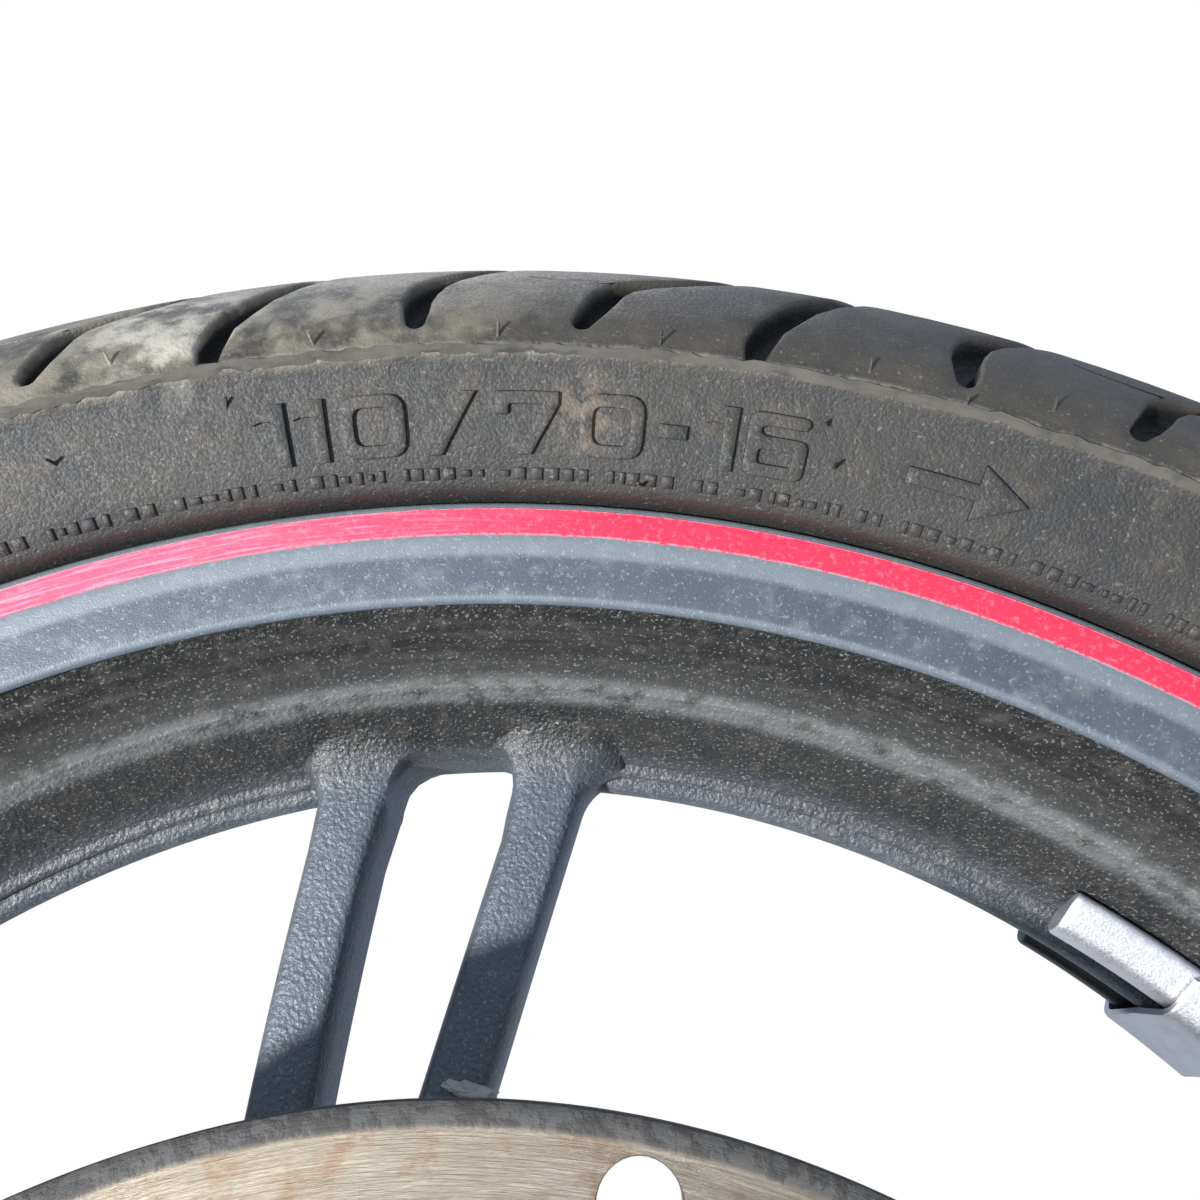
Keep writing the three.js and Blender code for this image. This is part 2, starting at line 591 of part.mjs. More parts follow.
// ---- tyre valve ----------------------------------------------------------------------------
const stemSleeve = STEM_RADIUS + VALVE_GAP;
const cavityEnd = WELL_RADIUS + 6.5;
const threadStart = VALVE_TIP + CAP_LENGTH + 0.5;
add('valve_body', valveTurned([
  [cavityEnd, stemSleeve], [cavityEnd, 5.8], [WELL_RADIUS + 1.4, 8], [WELL_RADIUS + 0.4, 8],
  [WELL_RADIUS + 0.4, VALVE_HOLE - 0.2], [VALVE_SEAT - 0.4, VALVE_HOLE - 0.2], [VALVE_SEAT - 0.4, 7.4],
  [VALVE_SEAT - 4, 7.2], [threadStart + 4, 5.2], [threadStart, 5.1], [threadStart, stemSleeve],
]), SEAL_RUBBER);
add('valve_stem', valveTurned([
  [cavityEnd - 1, STEM_BORE], [cavityEnd - 1, STEM_RADIUS], [VALVE_TIP, STEM_RADIUS], [VALVE_TIP, STEM_BORE],
]), BRASS);
const coreTip = VALVE_TIP + 1.6;
const pinHead = coreTip + 4; // shoulder on the pin that the spring pushes
const coreEnd = pinHead + SPRING_ROOM + PIN_TRAVEL + 0.8;
add('valve_core', valveTurned([
  [coreTip, PIN_RADIUS + 0.25], [coreTip, STEM_BORE - 0.15], [coreEnd, STEM_BORE - 0.15], [coreEnd, CORE_BORE],
  [coreTip + 3, CORE_BORE], [coreTip + 3, PIN_RADIUS + 0.25],
]), BRASS);
add('valve_pin', valveTurned([
  [VALVE_TIP + 0.4, 0], [VALVE_TIP + 0.4, PIN_RADIUS], [pinHead, PIN_RADIUS], [pinHead, CORE_BORE - 0.25],
  [pinHead + 0.8, CORE_BORE - 0.25], [pinHead + 0.8, PIN_RADIUS], [coreEnd + 0.5, PIN_RADIUS],
  [coreEnd + 0.5, STEM_BORE - 0.3], [coreEnd + 1.5, STEM_BORE - 0.3], [coreEnd + 1.5, 0],
]), BRASS);

/** The core's coil spring, between the pin's shoulder and the end of the core. */
class Helix extends THREE.Curve {
  constructor(radius, turns, low, high) {
    super();
    Object.assign(this, { radius, turns, low, high });
  }

  getPoint(t, target = new THREE.Vector3()) {
    const angle = t * this.turns * Math.PI * 2;
    const place = THREE.MathUtils.lerp(this.low, this.high, t);
    return target.set(this.radius * Math.cos(angle), this.radius * Math.sin(angle), -place);
  }
}
const springWire = 0.2;
const springLow = pinHead + 0.8 + springWire + 0.1;
const springHigh = coreEnd - 0.6;
const wireSection = new THREE.Shape();
wireSection.absarc(0, 0, springWire, 0, Math.PI * 2, false);
add('valve_spring', solid(new THREE.ExtrudeGeometry(wireSection, {
  extrudePath: new Helix((PIN_RADIUS + CORE_BORE) / 2, 5, springLow, springHigh), steps: 40, curveSegments: 2,
})), STEEL);

const capInside = STEM_RADIUS + VALVE_GAP;
add('valve_cap', valveTurned([
  [VALVE_TIP - 2.6, 0], [VALVE_TIP - 2.6, capInside + CAP_WALL - 0.8], [VALVE_TIP - 1.8, capInside + CAP_WALL],
  [VALVE_TIP + CAP_LENGTH, capInside + CAP_WALL], [VALVE_TIP + CAP_LENGTH, capInside],
  [VALVE_TIP - 0.4, capInside], [VALVE_TIP - 0.4, 0],
]), CAP_PLASTIC);

// ---- balance weight ------------------------------------------------------------------------
/** One bar of the weight; it lies on the rim's slope beside the rib. */
function weightBar(side, from, to) {
  const slope = (RIDGE_RADIUS - SLOPE_RADIUS) / (RIDGE_PLACE - RIB_HALF);
  const under = (place) => SLOPE_RADIUS + (place - RIB_HALF) * slope - WEIGHT_GAP;
  const near = RIB_HALF + WEIGHT_GAP;
  const section = [
    [near, under(near) - 2.4], [near, under(near)], [near + 7, under(near + 7)],
    [near + 8, under(near + 7) - 1.2], [near + 5, RIB_RADIUS + 0.6], [near + 2.6, RIB_RADIUS - 0.2],
  ].map(([y, r]) => [side * y, r]);
  return turned(section, RING_SIDES).intersect(sector(from, to, 400));
}
add('balance_weight_disc_side', weightBar(-1, WEIGHT_START, WEIGHT_END), ZINC);
add('balance_weight_far_side', weightBar(1, WEIGHT_START + 0.4, WEIGHT_END - 0.4), ZINC);

function weightClip() {
  const low = RIB_RADIUS - WEIGHT_GAP - CLIP_WALL;
  const out = RIB_HALF + WEIGHT_GAP + 6;
  const half = [
    [0, low], [-out + 2, low - 0.6], [-out - 0.6, low + 1], [-out - 3.5, low + 6],
    [-out - 3.5 + CLIP_WALL, low + 6.5], [-out + 0.9, low + 1.6], [-out + 2.6, low + 0.8], [0, low + CLIP_WALL],
  ];
  return turned([...half, ...otherSide(half.slice(1, -1))], RING_SIDES).intersect(sector(CLIP_START, CLIP_END, 400));
}
add('balance_weight_clip', weightClip(), ZINC);

export default object;
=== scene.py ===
"""Looks of a scooter's front wheel: tubeless tyre, cast wheel, brake disc, hub, axle and valve.

Lengths are in millimetres while a piece is modelled and become metres when it is finished.
The wheel spins about Y, the brake disc is on the -Y side and +Z is up.
"""
from __future__ import annotations

import logging
import math
import random
from dataclasses import dataclass, field
from enum import Enum
from typing import Any, Callable, Iterable, Sequence

import bmesh
import bpy
from mathutils import Matrix, Vector

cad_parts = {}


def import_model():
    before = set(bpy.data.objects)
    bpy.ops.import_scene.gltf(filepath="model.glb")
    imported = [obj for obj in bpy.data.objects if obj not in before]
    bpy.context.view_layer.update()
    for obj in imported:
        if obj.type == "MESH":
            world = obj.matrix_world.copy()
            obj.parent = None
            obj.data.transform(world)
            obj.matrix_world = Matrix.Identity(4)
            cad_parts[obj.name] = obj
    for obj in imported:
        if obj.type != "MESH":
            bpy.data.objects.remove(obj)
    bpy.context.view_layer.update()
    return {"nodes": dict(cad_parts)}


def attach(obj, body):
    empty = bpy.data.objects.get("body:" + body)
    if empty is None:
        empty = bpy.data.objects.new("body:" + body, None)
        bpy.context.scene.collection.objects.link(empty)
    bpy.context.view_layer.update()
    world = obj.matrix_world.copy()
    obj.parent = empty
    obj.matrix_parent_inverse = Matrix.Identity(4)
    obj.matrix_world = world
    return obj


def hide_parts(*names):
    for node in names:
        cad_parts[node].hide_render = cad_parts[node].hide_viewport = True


LOG = logging.getLogger("wheel")
Point = tuple[float, float]
Profile = list[Point]
Ring = list[Vector]
MM = 0.001
SMOOTH_LIMIT = 37.0  # degrees; flatter edges are shaded smooth
WELD = 1e-3  # mm; points nearer than this are one
BOLTS = 5  # bolts that hold the disc, evenly spaced
FIRST_BOLT = 20  # degrees
BOLT_CIRCLE = 52.0
BEARING_DISC_SIDE = -45.2  # where the bearing nearer the disc starts along the axle
BEARING_FAR_SIDE = 20.0


class Body(Enum):
    """The moving bodies that pieces ride on."""

    AXLE = "axle_group"
    WHEEL = "wheel"
    BALLS_DISC = "balls_disc_side"
    BALLS_FAR = "balls_far_side"
    PIN = "valve_pin_body"
    CAP = "valve_cap_body"


class Turning(Enum):
    """The axis that a profile is turned about."""

    WHEEL = "wheel"
    VALVE = "valve"


class Joining(Enum):
    """What a solid does to the one it meets."""

    ADD = "UNION"
    CUT = "DIFFERENCE"


class Side(Enum):
    """The two sides of the wheel, as the sign of Y."""

    DISC = -1
    FAR = 1

    @property
    def label(self) -> str:
        """Part of a piece's name."""
        return "disc_side" if self is Side.DISC else "far_side"


# ---- geometry ----------------------------------------------------------------------------------
def on_wheel(radius: float, y: float, degrees: float) -> Vector:
    """A point at a radius, a place along the axle and an angle from the top towards +X."""
    turn = math.radians(degrees)
    return Vector((radius * math.sin(turn), y, radius * math.cos(turn)))


def bolt_turn(number: int) -> float:
    """The angle of a disc bolt in degrees."""
    return 360 / BOLTS * number + FIRST_BOLT


def other_side(half: Sequence[Point]) -> Profile:
    """The [y, r] points of one side on the other side, in the order that carries a profile on."""
    return [(-y, r) for y, r in reversed(half)]


def rounded(corners: Sequence[Point], radius: float, steps: int = 4) -> Profile:
    """A closed outline with its corners rounded.

    Args:
        corners: The outline's corners, in order.
        radius: Length taken off each side of a corner, at most 0.45 of an edge.
        steps: Points of each rounding.
    Returns:
        The rounded outline.
    """
    outline: Profile = []
    count = len(corners)
    for i, corner in enumerate(corners):
        here = Vector(corner)
        before, after = Vector(corners[i - 1]) - here, Vector(corners[(i + 1) % count]) - here
        a = here + before.normalized() * min(radius, before.length * 0.45)
        b = here + after.normalized() * min(radius, after.length * 0.45)
        for k in range(steps + 1):
            t = k / steps
            point = a.lerp(here, t).lerp(here.lerp(b, t), t)
            outline.append((point.x, point.y))
    return outline


def smooth_path(points: Sequence[Sequence[float]], per_span: int) -> list[Vector]:
    """Points of a Catmull-Rom curve through the given ones, which may have up to three numbers.

    Args:
        points: Points of two or three numbers each.
        per_span: Steps between two of them.
    Returns:
        The curve's points.
    """
    knots = [Vector(tuple(p) + (0.0,) * (3 - len(p))) for p in points]
    ends = [knots[0] * 2 - knots[1], *knots, knots[-1] * 2 - knots[-2]]
    path: list[Vector] = []
    for i in range(1, len(ends) - 2):
        p0, p1, p2, p3 = ends[i - 1 : i + 3]
        for k in range(per_span):
            t = k / per_span
            path.append(
                0.5 * (
                    2 * p1 + (p2 - p0) * t + (
                        2 * p0 - 5 * p1 + 4 * p2 - p3
                    ) * t**2 + (3 * p1 - p0 - 3 * p2 + p3) * t**3
                )
            )
    path.append(knots[-1])
    return path


def turned(profile: Sequence[Point], steps: int, about: Turning = Turning.WHEEL) -> bmesh.types.BMesh:
    """A profile turned a full circle.

    Args:
        profile: [place, radius] points; it is closed unless it starts and ends on the axis.
        steps: Sides of the turned shape.
        about: The wheel's axis or the valve's.
    Returns:
        A closed mesh that faces outwards.
    """
    bm = bmesh.new()
    wheel = about is Turning.WHEEL
    verts = [bm.verts.new((r, place, 0.0) if wheel else (r, 0.0, -place)) for place, r in profile]
    on_axis = profile[0][1] == 0.0 and profile[-1][1] == 0.0
    last = len(verts) - 1 if on_axis else len(verts)
    edges = [bm.edges.new((verts[i], verts[(i + 1) % len(verts)])) for i in range(last)]
    bmesh.ops.spin(
        bm, geom=verts + edges, cent=(0, 0, 0), axis=(0, 1, 0) if wheel else (0, 0, 1), dvec=(0, 0, 0),
        angle=math.tau, steps=steps, use_merge=True,
    )
    bmesh.ops.remove_doubles(bm, verts=bm.verts, dist=WELD)
    bmesh.ops.recalc_face_normals(bm, faces=bm.faces)
    return bm


def lofted(bm: bmesh.types.BMesh, rings: Sequence[Ring]) -> None:
    """Adds a closed solid that runs through rings of equally many points.

    Args:
        bm: The mesh that the solid is added to.
        rings: The solid's sections, from one end to the other.
    """
    verts = bmesh.ops.create_circle(bm, cap_ends=True, segments=len(rings[0]), radius=1.0)["verts"]
    face = verts[0].link_faces[0]
    verts = list(face.verts)
    for vert, point in zip(verts, rings[0]):
        vert.co = point
    for number, ring in enumerate(rings[1:]):
        grown = bmesh.ops.extrude_face_region(bm, geom=[face])["geom"]
        if number:
            bm.faces.remove(face)  # only the two ends are capped
        face = next(g for g in grown if isinstance(g, bmesh.types.BMFace))
        top = set(face.verts)
        verts = [next(e.other_vert(v) for e in v.link_edges if e.other_vert(v) in top) for v in verts]
        for vert, point in zip(verts, ring):
            vert.co = point


def loft(rings: Sequence[Ring]) -> bmesh.types.BMesh:
    """A new closed mesh through rings of points, facing outwards."""
    bm = bmesh.new()
    lofted(bm, rings)
    bmesh.ops.recalc_face_normals(bm, faces=bm.faces)
    return bm


def pin(
    radius: float, low: float, high: float, x: float, z: float, chamfer: float = 0.0, steps: int = 28,
) -> bmesh.types.BMesh:
    """A cylinder along Y, widened by a chamfer at both ends."""
    layers = [(low, radius + chamfer), (high, radius + chamfer)]
    if chamfer:
        layers[1:1] = [(low + chamfer * 2, radius), (high - chamfer * 2, radius)]
    turns = [math.tau * k / steps for k in range(steps)]
    return loft([[Vector((x + r * math.cos(t), y, z + r * math.sin(t))) for t in turns] for y, r in layers])


def scratch_object(bm: bmesh.types.BMesh, name: str) -> bpy.types.Object:
    """A mesh as an object that only serves to shape another.

    Args:
        bm: The mesh; it is used up.
        name: The object's name.
    Returns:
        The object, linked to the scene.
    """
    mesh = bpy.data.meshes.new(name)
    bm.to_mesh(mesh)
    bm.free()
    obj = bpy.data.objects.new(name, mesh)
    bpy.context.scene.collection.objects.link(obj)
    return obj


def combined(
    base: bmesh.types.BMesh, steps: Sequence[tuple[Joining, bmesh.types.BMesh]],
) -> bmesh.types.BMesh:
    """A solid with others added to it or cut from it, in order.

    Args:
        base: The solid that the others change; it is used up.
        steps: What is done, and with which solid; these are used up too.
    Returns:
        The finished solid.
    """
    body = scratch_object(base, "scratch_base")
    tools = []
    for joining, bm in steps:
        tool = scratch_object(bm, "scratch_tool")
        modifier = body.modifiers.new("shape", "BOOLEAN")
        modifier.operation = joining.value
        modifier.solver = "MANIFOLD"
        modifier.object = tool
        tools.append(tool)
    bpy.context.view_layer.update()
    evaluated = body.evaluated_get(bpy.context.evaluated_depsgraph_get())
    result = bmesh.new()
    result.from_mesh(evaluated.to_mesh())
    evaluated.to_mesh_clear()
    for obj in [body, *tools]:
        mesh = obj.data
        bpy.data.objects.remove(obj)
        bpy.data.meshes.remove(mesh)
    return result


def merged(parts: Iterable[bmesh.types.BMesh]) -> bmesh.types.BMesh:
    """Several meshes as one; they are used up.

    Args:
        parts: The meshes.
    Returns:
        One mesh that holds them all.
    """
    whole = bmesh.new()
    for part in parts:
        mesh = bpy.data.meshes.new("scratch")
        part.to_mesh(mesh)
        part.free()
        whole.from_mesh(mesh)
        bpy.data.meshes.remove(mesh)
    return whole


def spun_copy(bm: bmesh.types.BMesh, degrees: float) -> bmesh.types.BMesh:
    """A copy rotated about the wheel's axis, from the top towards +X."""
    copy = bm.copy()
    bmesh.ops.rotate(
        copy, verts=copy.verts, cent=(0, 0, 0), matrix=Matrix.Rotation(math.radians(degrees), 3, "Y"),
    )
    return copy


# ---- materials ---------------------------------------------------------------------------------
def linear(colour: str) -> tuple[float, float, float, float]:
    """A colour written as sRGB hex, in the linear values that shaders take."""
    parts = [int(colour[i : i + 2], 16) / 255 for i in (1, 3, 5)]
    red, green, blue = (p / 12.92 if p <= 0.04045 else ((p + 0.055) / 1.055) ** 2.4 for p in parts)
    return red, green, blue, 1.0


def add(
    tree: bpy.types.NodeTree, kind: str, inputs: dict[int | str, Any] | None = None, **settings: Any
) -> bpy.types.Node:
    """Adds a node.

    Args:
        tree: The material's node tree.
        kind: The node's type.
        inputs: A value or another node's output for each input, by name or number.
        **settings: The node's own settings.
    Returns:
        The new node.
    """
    made = tree.nodes.new(kind)
    for name, value in settings.items():
        setattr(made, name, value)
    for name, value in (inputs or {}).items():
        if isinstance(value, bpy.types.NodeSocket):
            tree.links.new(value, made.inputs[name])
        else:
            made.inputs[name].default_value = value
    return made


MIX = {"data_type": "RGBA", "clamp_factor": True}
FACTOR, FIRST, SECOND, MIXED = 0, 6, 7, 2  # sockets of a colour mix


@dataclass(frozen=True)
class Places:
    """Where a point of the surface is, in mm, as sockets that patterns read."""

    whole: bpy.types.NodeSocket
    radius: bpy.types.NodeSocket
    along: bpy.types.NodeSocket
    away: bpy.types.NodeSocket
    turn: bpy.types.NodeSocket


def places(tree: bpy.types.NodeTree) -> Places:
    """Adds what works out a point's place on the wheel.

    Args:
        tree: The material's node tree.
    Returns:
        Sockets of the place itself, radius, y, distance from the middle plane and angle.
    """
    coordinates = add(tree, "ShaderNodeTexCoord").outputs["Object"]
    whole = add(tree, "ShaderNodeVectorMath", {0: coordinates, 3: 1 / MM}, operation="SCALE").outputs[0]
    split = add(tree, "ShaderNodeSeparateXYZ", {0: whole})
    flat = add(tree, "ShaderNodeCombineXYZ", {0: split.outputs[0], 2: split.outputs[2]}).outputs[0]
    radius = add(tree, "ShaderNodeVectorMath", {0: flat}, operation="LENGTH").outputs["Value"]
    away = add(tree, "ShaderNodeMath", {0: split.outputs[1]}, operation="ABSOLUTE").outputs[0]
    turn = add(
        tree, "ShaderNodeMath", {0: split.outputs[0], 1: split.outputs[2]}, operation="ARCTAN2",
    ).outputs[0]
    return Places(whole, radius, split.outputs[1], away, turn)


def between(
    tree: bpy.types.NodeTree, value: bpy.types.NodeSocket, low: float, high: float,
) -> bpy.types.NodeSocket:
    """A smooth share that is 0 where a value is low and 1 where it is high."""
    return add(
        tree, "ShaderNodeMapRange", {0: value, 1: low, 2: high, 3: 0.0, 4: 1.0},
        interpolation_type="SMOOTHSTEP"
    ).outputs[0]


def product(tree: bpy.types.NodeTree, *shares: bpy.types.NodeSocket | float) -> bpy.types.NodeSocket:
    """Several shares multiplied."""
    total = shares[0]
    for share in shares[1:]:
        total = add(
            tree, "ShaderNodeMath", {0: total, 1: share}, operation="MULTIPLY", use_clamp=True,
        ).outputs[0]
    return total


def band(
    tree: bpy.types.NodeTree, value: bpy.types.NodeSocket, low: float, high: float, soft: float,
) -> bpy.types.NodeSocket:
    """A share that is 1 between two values and fades out beside them."""
    return product(
        tree, between(tree, value, low - soft, low + soft), between(tree, value, high + soft, high - soft),
    )


def speckle(
    tree: bpy.types.NodeTree, place: bpy.types.NodeSocket, grain: float, low: float, high: float,
    detail: float = 3.0,
) -> bpy.types.NodeSocket:
    """A share of patches.

    Args:
        tree: The material's node tree.
        place: The place in mm.
        grain: Size of the patches in mm.
        low: Noise under this is 0.
        high: Noise over this is 1.
        detail: Finer noise on top.
    Returns:
        The share.
    """
    noise = add(
        tree, "ShaderNodeTexNoise",
        {"Vector": place, "Scale": 1 / grain, "Detail": detail, "Roughness": 0.6},
    )
    return between(tree, noise.outputs[0], low, high)


def painted(
    tree: bpy.types.NodeTree, ground: Any, layers: Sequence[tuple[Any, str]],
) -> bpy.types.NodeSocket:
    """A colour with others laid over it, each by its own share."""
    colour = linear(ground) if isinstance(ground, str) else ground
    for share, over in layers:
        colour = add(
            tree, "ShaderNodeMix", {FACTOR: share, FIRST: colour, SECOND: linear(over)}, **MIX
        ).outputs[MIXED]
    return colour


def bumped(
    tree: bpy.types.NodeTree, layers: Sequence[tuple[bpy.types.NodeSocket, float]],
) -> bpy.types.NodeSocket:
    """The surface's normal under several height patterns, each with its height in mm.

    Args:
        tree: The material's node tree.
        layers: Height patterns and the height of each in mm.
    Returns:
        The normal's socket.
    """
    normal: bpy.types.NodeSocket | None = None
    for height, size in layers:
        inputs: dict[int | str, Any] = {"Height": height, "Distance": size * MM, "Strength": 1.0}
        if normal is not None:
            inputs["Normal"] = normal
        normal = add(tree, "ShaderNodeBump", inputs).outputs[0]
    return normal


@dataclass(frozen=True)
class Finish:
    """A finish that a piece's surface has; each kind says how it is painted."""

    name: str

    def paint(self, tree: bpy.types.NodeTree, at: Places) -> dict[str, Any]:
        """What the shader's sockets get, by name.

        Args:
            tree: The material's node tree.
            at: Where a point of the surface is.
        Returns:
            Values or sockets for the shader's inputs, by name.
        """
        raise NotImplementedError

    def material(self) -> bpy.types.Material:
        """The finish as a material, which is made once.

        Returns:
            The material.
        """
        known = bpy.data.materials.get(self.name)
        if known:
            return known
        made = bpy.data.materials.new(self.name)
        made.use_nodes = True
        tree = made.node_tree
        tree.nodes.clear()
        shader = add(tree, "ShaderNodeBsdfPrincipled", self.paint(tree, places(tree)))
        add(tree, "ShaderNodeOutputMaterial", {"Surface": shader.outputs[0]})
        return made


@dataclass(frozen=True)
class TyreRubber(Finish):
    """Moulded tyre rubber: dull black-brown, greyed by road dust, with painted shade deep in the grooves."""

    crown_centre: float = 218.1
    curve: float = 62.5

    def paint(self, tree: bpy.types.NodeTree, at: Places) -> dict[str, Any]:
        """Dust by zone, chalky scuffs on the shoulder, painted shade in the grooves and a fine grain.

        Args:
            tree: The material's node tree.
            at: Where a point of the surface is.
        Returns:
            Values or sockets for the shader's inputs, by name.
        """
        lift = add(
            tree, "ShaderNodeMath", {0: at.radius, 1: self.crown_centre}, operation="SUBTRACT",
        ).outputs[0]
        pair = add(tree, "ShaderNodeCombineXYZ", {0: lift, 1: at.along}).outputs[0]
        reach = add(tree, "ShaderNodeVectorMath", {0: pair}, operation="LENGTH").outputs["Value"]
        tread = between(tree, at.radius, 233.8, 235.4)
        # painted shade: groove walls and floors more than about 1 mm down are painted near black
        deep = product(
            tree, between(tree, reach, self.curve - 0.9, self.curve - 2.4),
            between(tree, at.radius, 235.5, 238.0),
        )
        clouds = speckle(tree, at.whole, 26.0, 0.38, 0.66, 6.0)
        soil = speckle(tree, at.whole, 7.0, 0.45, 0.72, 6.0)
        grains = speckle(tree, at.whole, 0.75, 0.63, 0.72, 2.0)
        # paler on the upper left of the tread, on the disc side
        left = product(
            tree, band(tree, at.turn, -0.85, 0.0, 0.12), between(tree, at.along, 5.0, -20.0), tread,
        )
        chalk_place = add(
            tree, "ShaderNodeVectorMath", {0: at.whole, 1: (-53.0, -55.0, 243.5)}, operation="DISTANCE",
        ).outputs["Value"]
        chalk = product(
            tree, between(tree, chalk_place, 19.0, 7.0), speckle(tree, at.whole, 6.0, 0.42, 0.62, 8.0),
            0.85,
        )
        gouge_place = add(
            tree, "ShaderNodeVectorMath", {0: at.whole, 1: (15.0, -52.0, 227.5)}, operation="DISTANCE",
        ).outputs["Value"]
        gouge = product(
            tree, between(tree, gouge_place, 9.0, 2.5), speckle(tree, at.whole, 3.0, 0.4, 0.6, 6.0), 0.8,
        )
        line = product(
            tree, band(tree, at.radius, 235.0, 236.8, 0.4), speckle(tree, at.whole, 2.2, 0.4, 0.62, 6.0),
        )
        colour = painted(
            tree,
            "#191A1A",
            [
                (product(tree, clouds, 0.75), "#26241F"),
                (tread, "#2A2722"),
                (product(tree, tread, clouds, 0.8), "#3A352D"),
                (product(tree, tread, soil, 0.4), "#4A4439"),
                (product(tree, left, speckle(tree, at.whole, 9.0, 0.36, 0.6, 8.0), 0.75), "#7C7566"),
                (product(tree, band(tree, at.radius, 221.0, 234.5, 4.0), soil, 0.6), "#3D352A"),
                (gouge, "#54473A"),
                (product(tree, grains, 0.45), "#6F6B63"),
                (chalk, "#A39D90"),
                (product(tree, line, 0.55), "#77736A"),
                # painted shade in the grooves
                (deep, "#060606"),
            ],
        )
        fine = add(tree, "ShaderNodeTexNoise", {"Vector": at.whole, "Scale": 1.9, "Detail": 4.0}).outputs[0]
        waves = add(
            tree, "ShaderNodeTexNoise", {"Vector": at.whole, "Scale": 0.16, "Detail": 3.0},
        ).outputs[0]
        rough = add(tree, "ShaderNodeMapRange", {0: fine, 1: 0.3, 2: 0.7, 3: 0.5, 4: 0.74}).outputs[0]
        normal = bumped(tree, [(waves, 0.3), (fine, 0.16), (soil, 0.1)])
        return {"Base Color": colour, "Roughness": rough, "Normal": normal, "IOR": 1.52}


@dataclass(frozen=True)
class CastPaint(Finish):
    """Cast aluminium alloy under dark powder coat: a leathery grain with pale specks painted as glints,
    smoother on rim faces.
    """

    def paint(self, tree: bpy.types.NodeTree, at: Places) -> dict[str, Any]:
        """Rings of different greys from the flange inwards, dust, streaks, painted shade under the flange,
        painted light and highlights on its edges, and worn ridges.

        Args:
            tree: The material's node tree.
            at: Where a point of the surface is.
        Returns:
            Values or sockets for the shader's inputs, by name.
        """
        swirl = add(tree, "ShaderNodeMath", {0: at.turn, 1: 7.0}, operation="MULTIPLY").outputs[0]
        rings = add(tree, "ShaderNodeCombineXYZ", {0: at.radius, 1: swirl, 2: at.along}).outputs[0]
        streaks = speckle(tree, rings, 1.3, 0.4, 0.68, 4.0)
        clouds = speckle(tree, at.whole, 17.0, 0.36, 0.66, 6.0)
        dust = speckle(tree, at.whole, 3.2, 0.46, 0.74, 6.0)
        # painted glints: fine pale specks stand for light catching the grain
        painted_glints = speckle(tree, at.whole, 0.55, 0.62, 0.7, 1.0)
        outer = between(tree, at.away, 35.6, 37.0)
        face = product(tree, outer, between(tree, at.radius, 200.0, 200.9))
        # painted light: the chamfer just inside the tape, which faces the lamp, is painted paler
        painted_chamfer_light = product(tree, outer, between(tree, at.radius, 207.4, 208.6))
        # painted highlight along the rounded edge between the face band and the groove
        painted_edge_highlight = product(
            tree, band(tree, at.away, 36.7, 38.9, 0.25), band(tree, at.radius, 200.4, 201.9, 0.3),
        )
        # painted shade in the undercut groove below the flange's face
        groove = product(tree, band(tree, at.away, 33.6, 36.8, 0.4), between(tree, at.radius, 199.0, 199.9))
        # painted shade: the concave wall under the bead seat is painted near black
        wall = product(tree, band(tree, at.away, 21.8, 34.6, 0.5), between(tree, at.radius, 191.0, 192.4))
        # paler ridge between wall and slope: partly worn coat, partly a painted highlight, broken by speckles
        ridge_wear_and_highlight = product(
            tree, band(tree, at.away, 18.3, 23.6, 1.3), band(tree, at.radius, 189.9, 193.4, 0.9),
            speckle(tree, at.whole, 4.0, 0.24, 0.56, 6.0),
        )
        slope = between(tree, at.radius, 183.5, 186.0)
        spoke = between(tree, at.radius, 183.0, 176.0)
        rib = product(tree, band(tree, at.radius, 178.0, 182.4, 0.5), dust)
        colour = painted(
            tree,
            "#33363A",
            [
                (slope, "#1C1D1E"),
                (product(tree, slope, clouds, 0.5), "#2B2A28"),
                (spoke, "#434A52"),
                (product(tree, spoke, clouds, 0.6), "#525A61"),
                (product(tree, rib, 0.3), "#6E6F6D"),
                # painted shade on the wall under the flange
                (wall, "#171717"),
                (product(tree, wall, streaks, 0.7), "#302E2B"),
                (face, "#38414B"),
                (product(tree, face, clouds, 0.35), "#4B545D"),
                # painted light on the chamfer
                (painted_chamfer_light, "#5F676D"),
                (product(tree, face, dust, 0.25), "#767B7D"),
                # painted highlight on that edge
                (product(tree, painted_edge_highlight, 0.7), "#5B646C"),
                # painted shade in the groove
                (groove, "#151514"),
                # painted shade on the wall, fading lighter towards the ridge
                (product(tree, wall, between(tree, at.away, 31.0, 23.0), 0.5), "#3C3D3C"),
                # worn ridge and painted highlight
                (product(tree, ridge_wear_and_highlight, 0.55), "#707272"),
                # painted glints
                (product(tree, painted_glints, 0.35), "#8E9294"),
                (product(tree, dust, 0.1), "#8A8478"),
            ],
        )
        coarse = add(
            tree, "ShaderNodeTexNoise",
            {"Vector": at.whole, "Scale": 1.35, "Detail": 2.5, "Roughness": 0.5},
        ).outputs[0]
        cells = add(
            tree, "ShaderNodeTexVoronoi", {"Vector": at.whole, "Scale": 1.2}, feature="SMOOTH_F1",
        ).outputs[0]
        fine = add(tree, "ShaderNodeTexNoise", {"Vector": at.whole, "Scale": 3.2, "Detail": 2.0}).outputs[0]
        even = add(
            tree, "ShaderNodeMath", {0: face, 1: product(tree, wall, 0.65)}, operation="MAXIMUM",
        ).outputs[0]
        rough_zone = add(tree, "ShaderNodeMath", {0: 1.0, 1: even}, operation="SUBTRACT").outputs[0]
        grain = product(tree, coarse, rough_zone)
        pits = product(tree, cells, rough_zone)
        rough = add(tree, "ShaderNodeMapRange", {0: fine, 1: 0.3, 2: 0.7, 3: 0.42, 4: 0.6}).outputs[0]
        normal = bumped(tree, [(grain, 0.32), (pits, 0.14), (fine, 0.05)])
        return {"Base Color": colour, "Roughness": rough, "Normal": normal, "Metallic": 0.15, "IOR": 1.5}


